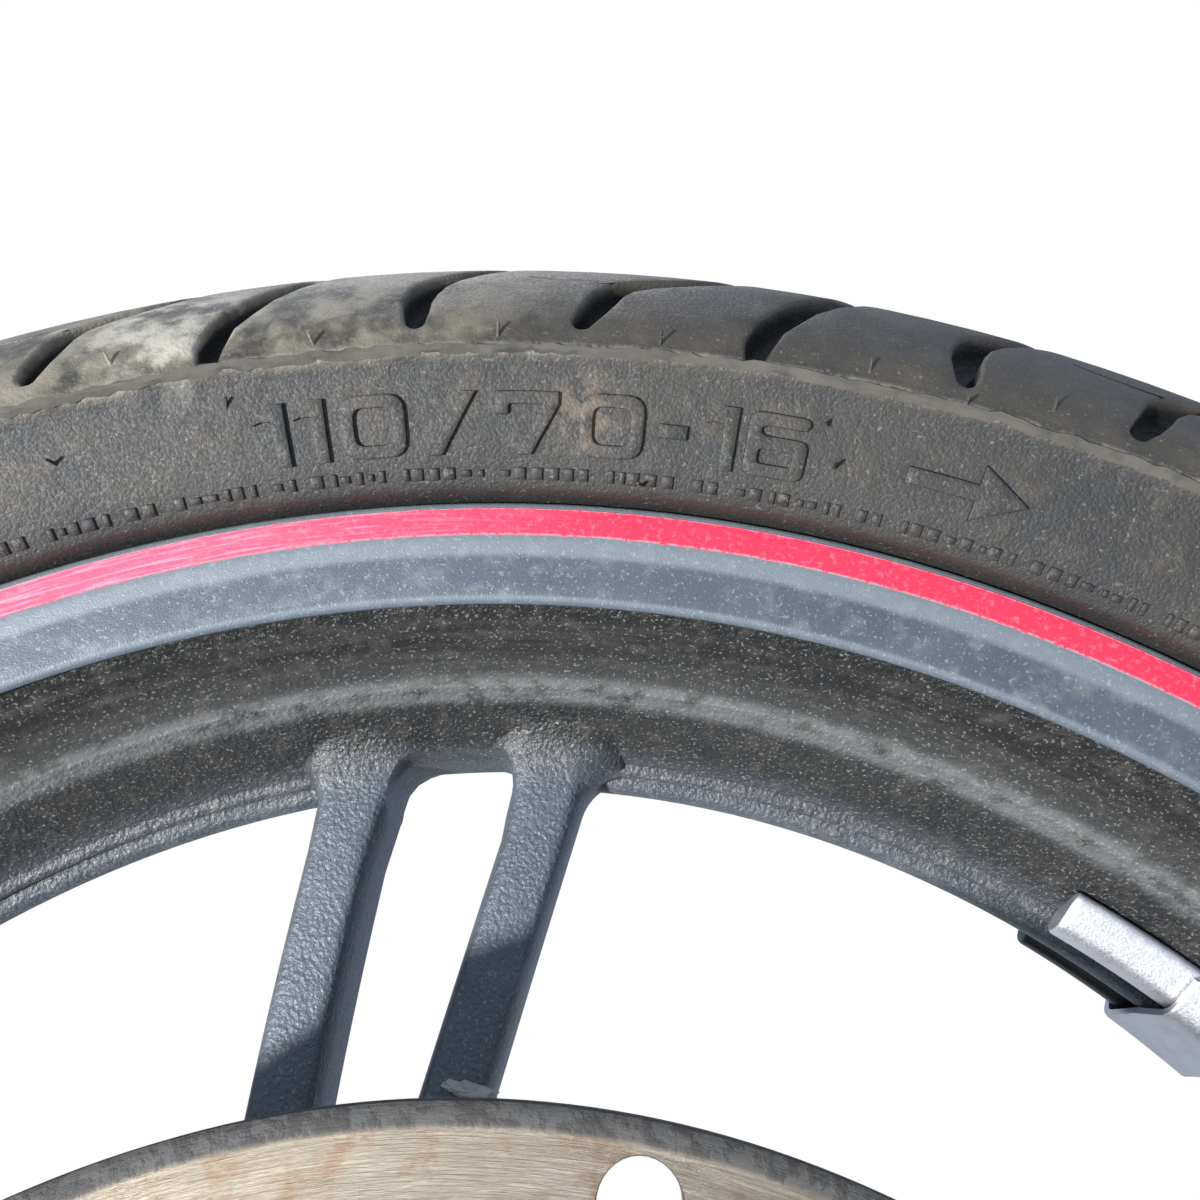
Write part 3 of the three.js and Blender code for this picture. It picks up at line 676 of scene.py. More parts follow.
@dataclass(frozen=True)
class RedTape(Finish):
    """Printed vinyl rim tape: bright red film, paler with fine lines towards the left and rubbed off at its
    edges.
    """

    inner: float = 211.2
    outer: float = 216.0

    def paint(self, tree: bpy.types.NodeTree, at: Places) -> dict[str, Any]:
        """Red with lines along the rim and frayed edges.

        Args:
            tree: The material's node tree.
            at: Where a point of the surface is.
        Returns:
            Values or sockets for the shader's inputs, by name.
        """
        swirl = add(tree, "ShaderNodeMath", {0: at.turn, 1: 10.0}, operation="MULTIPLY").outputs[0]
        rings = add(tree, "ShaderNodeCombineXYZ", {0: at.radius, 1: swirl}).outputs[0]
        lines = speckle(tree, rings, 0.55, 0.45, 0.7, 3.0)
        left = band(tree, at.turn, -1.2, -0.08, 0.2)
        dust = speckle(tree, at.whole, 1.1, 0.5, 0.74, 5.0)
        low_edge = between(tree, at.radius, self.inner + 0.45, self.inner)
        high_edge = between(tree, at.radius, self.outer - 0.35, self.outer)
        edge = add(tree, "ShaderNodeMath", {0: low_edge, 1: high_edge}, operation="MAXIMUM").outputs[0]
        frayed = product(tree, edge, speckle(tree, at.whole, 0.7, 0.35, 0.6, 3.0))
        colour = painted(
            tree,
            "#EC2743",
            [
                (product(tree, left, 0.55), "#F5607A"),
                (product(tree, lines, left, 0.7), "#F78B9B"),
                (product(tree, dust, 0.35), "#F28A98"),
                (frayed, "#7C8389"),
            ],
        )
        fine = add(tree, "ShaderNodeTexNoise", {"Vector": at.whole, "Scale": 2.6, "Detail": 3.0}).outputs[0]
        return {"Base Color": colour, "Roughness": 0.48, "Normal": bumped(tree, [(fine, 0.05)]), "IOR": 1.5}


@dataclass(frozen=True)
class DiscSteel(Finish):
    """Ground stainless brake steel: polished rings from the pads, and a dark rough edge they do not reach."""

    swept_inner: float = 95.5
    swept_outer: float = 127.6

    def paint(self, tree: bpy.types.NodeTree, at: Places) -> dict[str, Any]:
        """Concentric brushing with a brown-grey film, a dull edge, and a pale line along the outer rim that
        is partly worn and partly a painted highlight.

        Args:
            tree: The material's node tree.
            at: Where a point of the surface is.
        Returns:
            Values or sockets for the shader's inputs, by name.
        """
        swirl = add(tree, "ShaderNodeMath", {0: at.turn, 1: 5.0}, operation="MULTIPLY").outputs[0]
        rings = add(tree, "ShaderNodeCombineXYZ", {0: at.radius, 1: swirl}).outputs[0]
        hairs = add(
            tree, "ShaderNodeTexNoise", {"Vector": rings, "Scale": 3.4, "Detail": 5.0, "Roughness": 0.7},
        ).outputs[0]
        wide = speckle(tree, rings, 2.4, 0.35, 0.65, 3.0)
        film = speckle(tree, at.whole, 15.0, 0.35, 0.68, 6.0)
        swept = product(tree, band(tree, at.radius, self.swept_inner, self.swept_outer, 0.5))
        dull = add(tree, "ShaderNodeMath", {0: 1.0, 1: swept}, operation="SUBTRACT").outputs[0]
        rust = product(tree, dull, speckle(tree, at.whole, 2.2, 0.4, 0.62, 6.0))
        colour = painted(
            tree,
            "#6B6458",
            [
                (product(tree, between(tree, hairs, 0.42, 0.62), 0.75), "#8D8579"),
                (product(tree, wide, 0.6), "#5F584B"),
                (product(tree, film, 0.35), "#6A6256"),
                (product(tree, speckle(tree, at.whole, 5.0, 0.5, 0.68, 6.0), 0.55), "#624835"),
                # pale speckled line on the outer edge: partly worn steel, partly a painted highlight
                (
                    product(
                        tree, between(tree, at.radius, 129.9, 130.3),
                        speckle(tree, at.whole, 1.6, 0.35, 0.6, 4.0),
                    ),
                    "#A9A7A2",
                ),
                (dull, "#474644"),
                (product(tree, rust, 0.8), "#2F2D2B"),
            ],
        )
        metal = add(tree, "ShaderNodeMapRange", {0: dull, 3: 0.72, 4: 0.35}).outputs[0]
        rough = add(tree, "ShaderNodeMapRange", {0: dull, 3: 0.4, 4: 0.66}).outputs[0]
        normal = bumped(tree, [(hairs, 0.12), (rust, 0.1)])
        return {"Base Color": colour, "Roughness": rough, "Metallic": metal, "Normal": normal}


@dataclass(frozen=True)
class BareMetal(Finish):
    """Turned or plated metal: satin, with fine tool marks and a little grime."""

    colour: str = "#B9BEC2"
    grime: str = "#6A6763"
    roughness: float = 0.32
    dirt: float = 0.4

    def paint(self, tree: bpy.types.NodeTree, at: Places) -> dict[str, Any]:
        """One metal with grime in patches and a fine grain.

        Args:
            tree: The material's node tree.
            at: Where a point of the surface is.
        Returns:
            Values or sockets for the shader's inputs, by name.
        """
        patches = speckle(tree, at.whole, 4.5, 0.45, 0.72, 6.0)
        fine = add(tree, "ShaderNodeTexNoise", {"Vector": at.whole, "Scale": 2.4, "Detail": 4.0}).outputs[0]
        colour = painted(tree, self.colour, [(product(tree, patches, self.dirt), self.grime)])
        rough = add(
            tree, "ShaderNodeMapRange",
            {0: fine, 1: 0.3, 2: 0.7, 3: self.roughness - 0.06, 4: self.roughness + 0.12},
        ).outputs[0]
        return {
            "Base Color": colour, "Roughness": rough, "Metallic": 0.92,
            "Normal": bumped(tree, [(fine, 0.05)]),
        }


@dataclass(frozen=True)
class Moulded(Finish):
    """Moulded rubber or plastic: dark, slightly sheened, with a dusty bloom."""

    colour: str = "#1B1B1C"
    bloom: str = "#4A4845"
    roughness: float = 0.55

    def paint(self, tree: bpy.types.NodeTree, at: Places) -> dict[str, Any]:
        """A dark ground with dust and a fine grain.

        Args:
            tree: The material's node tree.
            at: Where a point of the surface is.
        Returns:
            Values or sockets for the shader's inputs, by name.
        """
        dust = speckle(tree, at.whole, 3.0, 0.45, 0.75, 6.0)
        fine = add(tree, "ShaderNodeTexNoise", {"Vector": at.whole, "Scale": 2.8, "Detail": 3.0}).outputs[0]
        colour = painted(tree, self.colour, [(product(tree, dust, 0.5), self.bloom)])
        return {
            "Base Color": colour, "Roughness": self.roughness, "Normal": bumped(tree, [(fine, 0.06)]),
            "IOR": 1.5,
        }


# dull grey-black rubber with brown dust, and near-black painted shade in the grooves
RUBBER = TyreRubber("moulded_tyre_rubber")
# matt greyish rubber, torn thin along the shoulder
SCUFFED = Moulded("scuffed_rubber_flash", "#4B4841", "#242320", 0.85)
# dark blue-grey coat with a leathery grain, pale specks painted as glints, and painted shade and highlights
# inside the rim
CAST = CastPaint("powder_coated_cast_alloy")
# bright red film that pales towards the left
TAPE = RedTape("red_vinyl_rim_tape")
# warm grey steel brushed in rings, dull at its rim, with a painted highlight along its outer edge
DISC = DiscSteel("ground_stainless_steel")
# dark satin steel with brown grime
BOLT = BareMetal("black_oxide_bolt_steel", "#4A4C4E", "#2A2724", 0.42, 0.5)
# bright turned steel
TURNED = BareMetal("turned_bearing_steel", "#C3C7CA", "#8A8780", 0.24, 0.2)
# pale satin plating with a yellowish film
ZINC = BareMetal("zinc_plated_steel", "#C4C7C6", "#8B8574", 0.36, 0.45)
# pale torn paint
CHIPPED = Moulded("chipped_powder_coat", "#8E8F8C", "#B5B4AE", 0.7)
# silvery satin metal
WEIGHT = BareMetal("zinc_alloy_weight", "#C6C6CA", "#918D88", 0.42, 0.35)
# warm yellow metal, a little tarnished
BRASS = BareMetal("nickelled_brass", "#B79A5C", "#6F5A33", 0.33, 0.3)
# black rubber with a faint dusty bloom
SEAL = Moulded("nitrile_seal_rubber")
# near-black copy of the weight's metal: painted shade for the bar behind the rib
WEIGHT_IN_PAINTED_SHADE = Moulded("weight_painted_in_shade", "#141618", "#2C2F31", 0.4)
# black plastic with a soft sheen
CAP_PLASTIC = Moulded("black_moulded_polyamide", "#161617", "#3A3937", 0.45)


def finished(
    bm: bmesh.types.BMesh, name: str, finish: Finish, body: Body, replaced: Sequence[str] = (),
    limit: float = SMOOTH_LIMIT,
) -> bpy.types.Object:
    """Turns a modelled mesh into a piece of the wheel.

    Args:
        bm: The mesh in mm; it is used up.
        name: The piece's name.
        finish: Its finish.
        body: The body that it rides on.
        replaced: Nodes that the piece stands for.
        limit: Edges sharper than this many degrees stay sharp.
    Returns:
        The piece.
    """
    bmesh.ops.scale(bm, vec=(MM, MM, MM), verts=bm.verts)
    for face in bm.faces:
        face.smooth = True
    sharp = math.radians(limit)
    for edge in bm.edges:
        if len(edge.link_faces) == 2 and edge.calc_face_angle(0.0) > sharp:
            edge.smooth = False
    mesh = bpy.data.meshes.new(name)
    bm.to_mesh(mesh)
    faces = len(bm.faces)
    bm.free()
    mesh.materials.append(finish.material())
    obj = bpy.data.objects.new(name, mesh)
    bpy.context.scene.collection.objects.link(obj)
    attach(obj, body.value)
    if replaced:
        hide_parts(*replaced)
    LOG.info("%s: %d faces, %s", name, faces, finish.name)
    return obj


# ---- tyre --------------------------------------------------------------------------------------
@dataclass(frozen=True)
class Groove:
    """One moulded groove: its middle line as (degrees, distance from the crown, half width) and its depth."""

    line: tuple[tuple[float, float, float], ...]
    depth: float = 5.4
    rim: float = 0.9

    def rings(self, place: Callable[[float, float, float], Vector], degree: float) -> list[Ring]:
        """The sections of the solid that cuts the groove.

        Args:
            place: Gives the point at (degrees, distance from the crown, depth).
            degree: Length of one degree on the tread in mm.
        Returns:
            Rings along the groove, with rounded ends.
        """
        path = [
            Vector((p.x * degree, p.y, p.z))
            for p in smooth_path(self.line, 1 if len(self.line) > 7 else 2)
        ]
        layers = [
            (-0.7, 2.3 * self.rim), (0.1 * self.rim, 0.56 * self.rim), (0.3 * self.rim, 0.29 * self.rim),
            (0.6 * self.rim, 0.08 * self.rim),
        ]
        layers += [
            (self.rim, 0.0), (self.depth * 0.6, -0.08), (self.depth * 0.9, -0.3),
            (self.depth, -0.8 if self.depth > 3 else -0.2),
        ]
        last = len(path) - 1
        stations = [(0, -turn) for turn in (80, 55, 28)] + [(i, 0) for i in range(last + 1)] + [
            (last, turn)
            for turn in (28, 55, 80)
        ]
        rings = []
        for i, degrees in stations:
            turn = math.radians(degrees)
            ahead = (path[min(i + 1, last)] - path[max(i - 1, 0)]).to_2d().normalized()
            side = Vector((-ahead.y, ahead.x))
            ring = []
            for sign, order in ((1, layers), (-1, list(reversed(layers)))):
                for depth, offset in order:
                    half = max(path[i].z + offset, 0.12)
                    spot = path[i].to_2d() + ahead * (half * math.sin(turn)) + side * (
                        sign * half * math.cos(turn)
                    )
                    ring.append(place(spot.x / degree, spot.y, depth))
            rings.append(ring)
        return rings


@dataclass
class Tyre:
    """The tubeless tyre, with its tread grooves, raised size figures, vent whiskers and mould flash."""

    crown_radius: float = 280.6
    curve: float = 62.5
    tread_edge: float = 57.8
    steps: int = 216
    close_pitch: float = 20.65
    pitches: int = 18
    first_pitch: float = -10.65
    far_shift: float = 10.0
    degree: float = 4.2
    mark_degree: float = 3.95
    mark_line: float = 91.6
    side_line: Profile = field(
        default_factory=lambda: [
            (-57.8, 241.88), (-58.0, 239.6), (-58.05, 237.6), (-57.95, 236.2), (-57.6, 235.3),
            (-56.9, 234.7), (-55.9, 233.7),
            (-54.6, 231.9), (-53.1, 229.5), (-51.4, 226.7), (-49.5, 223.9), (-47.6, 221.4), (-46.2, 219.9),
            (-45.2, 218.95), (-44.5, 218.35),
        ]
    )
    long_groove: Groove = Groove(
        ((0.05, 78.4, 1.5), (0.1, 76, 2.1), (0.45, 71, 2.3), (1.0, 66.5, 2.4), (1.6, 61, 2.4), (2.4, 55, 2.4),
         (3.4, 47.5, 2.4),
         (4.5, 38, 2.3), (5.2, 27, 2.1), (5.4, 16, 1.8), (5.2, 9, 1.1))
    )
    short_groove: Groove = Groove(
        ((7.8, 74.2, 1.6), (7.78, 71.5, 2.05), (7.75, 68, 2.25), (7.87, 64.5, 2.35), (8.15, 60.5, 2.35),
         (8.6, 57, 2.3),
         (9.4, 52.5, 2.2), (10.6, 46, 2.0), (11.4, 40, 1.6), (11.6, 35, 1.0))
    )
    hooked_groove: Groove = Groove(
        ((14.1, 74.4, 1.5), (14.35, 72, 1.95), (14.7, 67.8, 2.2), (14.95, 64, 2.3), (15.4, 60.5, 2.3),
         (16.3, 57.5, 2.2),
         (17.6, 54, 2.1), (19.2, 48, 2.0), (20.2, 40, 1.8), (20.6, 30, 1.5), (20.5, 22, 0.9))
    )
    sipe: Groove = Groove(
        ((11.9, 55.6, 0.4), (12.6, 57.0, 0.5), (13.6, 57.7, 0.5), (14.9, 58.2, 0.5)), 2.2, 0.25,
    )

    def outer_at(self, s: float) -> tuple[Vector, Vector]:
        """The section's point and outward normal, as (y, r), at a distance from the crown.

        Args:
            s: Distance from the crown along the section, in mm.
        Returns:
            The point and the unit normal.
        """
        arc = self.curve * math.asin(self.tread_edge / self.curve)
        if s <= arc:
            phi = s / self.curve
            return (
                Vector(
                    (
                        -self.curve * math.sin(phi),
                        self.crown_radius - self.curve + self.curve * math.cos(phi),
                    )
                ),
                Vector((-math.sin(phi), math.cos(phi))),
            )
        left = s - arc
        for a, b in zip(self.side_line, self.side_line[1:]):
            step = Vector(b) - Vector(a)
            if left <= step.length or b == self.side_line[-1]:
                way = step.normalized()
                return Vector(a) + way * left, Vector((way.y, -way.x))
            left -= step.length
        raise ValueError("the section is shorter than that")

    def place(self, degrees: float, s: float, depth: float, side: Side = Side.DISC) -> Vector:
        """A point at an angle, a distance from the crown and a depth under the surface."""
        point, normal = self.outer_at(s)
        spot = point - normal * depth
        return on_wheel(spot.y, spot.x * -side.value, degrees)

    def section(self) -> Profile:
        """The tyre's closed section.

        Returns:
            The outline, one side and then the other.
        """
        arc = self.curve * math.asin(self.tread_edge / self.curve)
        count = 36
        crown = [tuple(self.outer_at(arc * i / count)[0]) for i in range(count + 1)]
        foot = [
            (-43.9, 218.05), (-43.0, 217.95), (-41.2, 217.95), (-38.0, 217.95), (-37.75, 217.6),
            (-37.75, 205.6), (-37.2, 204.4), (-35.8, 203.5),
        ]
        base = [
            (-31.0, 203.1), (-26.7, 202.7), (-26.0, 203.2), (-25.7, 204.4), (-29.1, 211.8), (-33.2, 216.8),
            (-36.8, 221.5), (-41.4, 226.0),
        ]
        inner_curve = self.curve - 12
        inner = [
            (-inner_curve * math.sin(phi), self.crown_radius - self.curve + inner_curve * math.cos(phi))
            for phi in (1.19 * k / 10 for k in range(10, -1, -1))
        ]
        half = crown + self.side_line[1:] + foot + base + [(-45.5, 230.8)] + inner
        return half + other_side(half[1:-1])

    def starts(self) -> list[float]:
        """Where each repeat of the tread pattern starts, in degrees; repeats differ a little, to hum less.

        Returns:
            The angles.
        """
        rest = (360 - 3 * self.close_pitch) / (self.pitches - 3)
        widths = [self.close_pitch] * 2 + [rest] * (self.pitches - 3) + [self.close_pitch]
        starts = [self.first_pitch]
        for width in widths[:-1]:
            starts.append(starts[-1] + width)
        return starts

    def cutters(self) -> bmesh.types.BMesh:
        """All the grooves as solids.

        Returns:
            The solids in one mesh.
        """
        bm = bmesh.new()
        for side, shift in ((Side.DISC, 0.0), (Side.FAR, self.far_shift)):
            for start in self.starts():
                for groove in (self.long_groove, self.short_groove, self.hooked_groove, self.sipe):
                    lofted(
                        bm,
                        groove.rings(
                            lambda a, s, d: self.place(a + start + shift, s, d, side), self.degree,
                        ),
                    )
        bmesh.ops.recalc_face_normals(bm, faces=bm.faces)
        return bm

    def on_sidewall(self, u: float, v: float, height: float, middle: float, side: Side) -> Vector:
        """A point of a mark: u along the tyre, v outwards from the marks' middle line, and its height."""
        turn = u / self.mark_degree
        return self.place(middle + (turn if side is Side.DISC else -turn), self.mark_line - v, -height, side)

    def whiskers(self) -> bmesh.types.BMesh:
        """Vent whiskers, thin hairs of rubber that the mould leaves.

        Returns:
            The whiskers in one mesh.
        """
        draw = random.Random(11)
        bm = bmesh.new()
        spots = [
            (-17.0, 89.5), (-10.3, 86.5), (13.3, 86.9), (13.9, 93.2), (6.4, 100.6), (-14.1, 76.0),
            (-6.6, 78.0), (0.3, 78.2),
        ]
        spots += [(6.45, 78.2), (14.3, 77.4), (17.9, 79.6), (21.0, 76.1)]
        spots += [(a + draw.uniform(-1, 1), 77.6) for a in range(28, 340, 7)] + [
            (a + draw.uniform(-3, 3), 88.0)
            for a in range(32, 335, 23)
        ]
        for side in Side:
            for angle, s in spots:
                root = self.place(angle, s, 0.4, side)
                out = (root - self.place(angle, s, 1.4, side)).normalized()
                lean = (
                    out * 0.8 + Vector((draw.uniform(-0.4, 0.1), 0, draw.uniform(0.2, 0.9)))
                ).normalized()
                length = draw.uniform(2.2, 3.8)
                across = lean.orthogonal().normalized()
                beside = lean.cross(across)
                rings = []
                for share, radius in ((0, 0.42), (0.25, 0.32), (1, 0.24)):
                    centre = root + lean * (length * share)
                    rings.append(
                        [
                            centre + (across * math.cos(t) + beside * math.sin(t)) * radius
                            for t in (math.tau * k / 6 for k in range(6))
                        ]
                    )
                lofted(bm, rings)
        bmesh.ops.recalc_face_normals(bm, faces=bm.faces)
        return bm

    def flash(self, side: Side) -> bmesh.types.BMesh:
        """The thin torn edge of rubber along the moulding line between tread and sidewall.

        Args:
            side: The side of the tyre.
        Returns:
            The torn edge as a closed ring.
        """
        draw = random.Random(5 + side.value)
        bm = turned([(-57.6, 236.3), (-58.25, 235.9), (-58.1, 235.2), (-57.2, 234.75), (-56.7, 235.4)], 900)
        for vert in bm.verts:
            radius = math.hypot(vert.co.x, vert.co.z)
            if vert.co.y < -57.0:
                tear = draw.uniform(-0.25, 0.35) + 0.35 * max(
                    0.0,
                    math.sin(
                        math.atan2(vert.co.x, vert.co.z) * 61
                    ) * math.sin(math.atan2(vert.co.x, vert.co.z) * 23),
                )
                vert.co.x *= 1 + tear / radius
                vert.co.z *= 1 + tear / radius
                vert.co.y -= draw.uniform(0, 0.3)
            vert.co.y *= -side.value
        bmesh.ops.recalc_face_normals(bm, faces=bm.faces)
        return bm

    def build(self) -> None:
        """Models the tyre and dresses it."""
        body = combined(turned(self.section(), self.steps), [(Joining.CUT, self.cutters())])
        finished(body, "tire_body", RUBBER, Body.WHEEL, ["tire"])
        finished(self.whiskers(), "tire_vent_whiskers", RUBBER, Body.WHEEL)
        for side in Side:
            finished(self.flash(side), f"tire_mould_flash_{side.label}", SCUFFED, Body.WHEEL)
            SizeMarks(self, side).build()


@dataclass
class SizeMarks:
    """Raised size figures on a sidewall, a turning arrow, and a row of small plain bars under them."""

    tyre: Tyre
    side: Side
    stroke: float = 2.1
    row_end: float = 58.0
    row_drop: float = 8.0
    row_degree: float = 3.83
    bar_gap: float = 0.85
    group_gap: float = 0.55

    def outlines(self, sign: str) -> tuple[list[Profile], float]:
        """The closed outlines of a figure in mm, and its width; later outlines are holes.

        Args:
            sign: The figure.
        Returns:
            Its outlines and its width.
        """
        w = self.stroke
        shapes: dict[str, tuple[list[Profile], float]] = {
            "1": ([[(0.2, 7.0), (2.9, 10), (5.2, 10), (5.2, 0), (3.0, 0), (3.0, 7.3), (1.3, 7.3)]], 5.4),
            "0": (
                [
                    rounded([(0, 0), (10.2, 0), (10.2, 10), (0, 10)], 3.0),
                    rounded([(w, w), (w, 10 - w), (10.2 - w, 10 - w), (10.2 - w, w)], 1.5),
                ],
                10.2,
            ),
            "7": (
                [
                    rounded(
                        [
                            (0, 10), (10, 10), (10, 7.9), (5.7, 0), (3.2, 0), (7.4, 7.9), (w, 7.9),
                            (w, 6.3), (0, 6.3),
                        ],
                        0.4, 2,
                    )
                ],
                10.0,
            ),
            "/": ([[(0, 0), (w, 0), (7.8, 10), (5.7, 10)]], 7.8),
            "-": ([[(0, 3.9), (4.6, 3.9), (4.6, 6.1), (0, 6.1)]], 4.6),
            "6": (
                [
                    rounded(
                        [(0, 0), (9.6, 0), (9.6, 6.4), (w, 6.4), (w, 7.9), (9.4, 7.9), (9.4, 10), (0, 10)],
                        1.6,
                    ),
                    rounded([(w, w), (w, 4.3), (9.6 - w, 4.3), (9.6 - w, w)], 0.6),
                ],
                9.6,
            ),
            ">": ([[(0, 3.7), (11, 3.7), (11, 0.6), (19, 5), (11, 9.4), (11, 6.3), (0, 6.3)]], 19.0),
        }
        return shapes[sign]

    def figure(self, sign: str, middle: float) -> bmesh.types.BMesh:
        """One raised figure, laid on the sidewall at an angle.

        Args:
            sign: The figure.
            middle: Where it stands, in degrees.
        Returns:
            The figure as a closed mesh.
        """
        outlines, width = self.outlines(sign)
        curve = bpy.data.curves.new("figure", "CURVE")
        curve.dimensions, curve.fill_mode = "2D", "BOTH"
        curve.extrude, curve.bevel_depth, curve.bevel_resolution, curve.offset = 0.55, 0.25, 1, -0.25
        for outline in outlines:
            spline = curve.splines.new("POLY")
            spline.points.add(len(outline) - 1)
            for point, (u, v) in zip(spline.points, outline):
                point.co = (u, v, 0, 1)
            spline.use_cyclic_u = True
        obj = bpy.data.objects.new("figure", curve)
        bm = bmesh.new()
        bpy.context.scene.collection.objects.link(obj)
        evaluated = obj.evaluated_get(bpy.context.evaluated_depsgraph_get())
        bm.from_mesh(evaluated.to_mesh())
        bpy.data.objects.remove(obj)
        bpy.data.curves.remove(curve)
        bmesh.ops.remove_doubles(bm, verts=bm.verts, dist=WELD)
        for cut in (2.5, 5.0, 7.5):
            bmesh.ops.bisect_plane(
                bm, geom=bm.verts[:] + bm.edges[:] + bm.faces[:], plane_co=(0, cut, 0), plane_no=(0, 1, 0),
            )
        for cut in range(2, int(width), 3):
            bmesh.ops.bisect_plane(
                bm, geom=bm.verts[:] + bm.edges[:] + bm.faces[:], plane_co=(cut, 0, 0), plane_no=(1, 0, 0),
            )
        for vert in bm.verts:
            u, v, z = vert.co
            vert.co = self.tyre.on_sidewall(u - width / 2, v - 5, z, middle, self.side)
        bmesh.ops.recalc_face_normals(bm, faces=bm.faces)
        return bm

    def row(self) -> bmesh.types.BMesh:
        """Small raised bars in uneven groups, close to the rim.

        Returns:
            The bars in one mesh.
        """
        draw = random.Random(23)
        bm = bmesh.new()
        turn = -self.row_end
        while turn < self.row_end:
            for _ in range(draw.choice((2, 4, 5, 6, 8))):
                wide = draw.choice((0.9, 1.5, 1.9))
                tall = draw.choice((0.55, 1.0, 1.0, 1.0))
                rings = []
                for height, inset in ((-0.3, 0.0), (0.3, 0.0), (0.42, 0.14)):
                    corners = [(-1, -1), (1, -1), (1, 1), (-1, 1)]
                    rings.append(
                        [
                            self.tyre.on_sidewall(
                                cx * (wide / 2 - inset), -self.row_drop + cy * (tall - inset), height, turn,
                                self.side,
                            )
                            for cx, cy in corners
                        ]
                    )
                lofted(bm, rings)
                turn += (wide + self.bar_gap) / self.row_degree
            turn += self.group_gap
        bmesh.ops.recalc_face_normals(bm, faces=bm.faces)
        return bm

    def build(self) -> None:
        """Models the marks and dresses them."""
        signs = zip("110/70-16>", (-8.75, -7.2, -4.7, -1.55, 1.45, 4.85, 7.3, 9.2, 11.45, 19.0))
        figures = [self.figure(sign, angle if self.side is Side.DISC else -angle) for sign, angle in signs]
        finished(merged(figures), f"tire_size_figures_{self.side.label}", RUBBER, Body.WHEEL)
        finished(
            self.row(), f"tire_small_bars_{self.side.label}", RUBBER, Body.WHEEL, limit=60.0,
        )


# ---- cast wheel --------------------------------------------------------------------------------
@dataclass
class SpokeLine:
    """A spoke's middle line in the X-Z plane, from rim to hub."""

    rim: Point
    bend: Point
    hub: Point

    def at(self, t: float) -> tuple[Vector, Vector]:
        """The point, and the way towards the hub, at a share of the line.

        Args:
            t: The share, 0 at the rim and 1 at the hub; below 0 the line runs straight on outwards.
        Returns:
            The point and the unit direction.
        """
        a, b, c = Vector(self.rim), Vector(self.bend), Vector(self.hub)
        if t < 0:
            way = (b - a).normalized()
            return a + way * t, way
        return a.lerp(b, t).lerp(b.lerp(c, t), t), ((b - a) * (1 - t) + (c - b) * t).normalized()


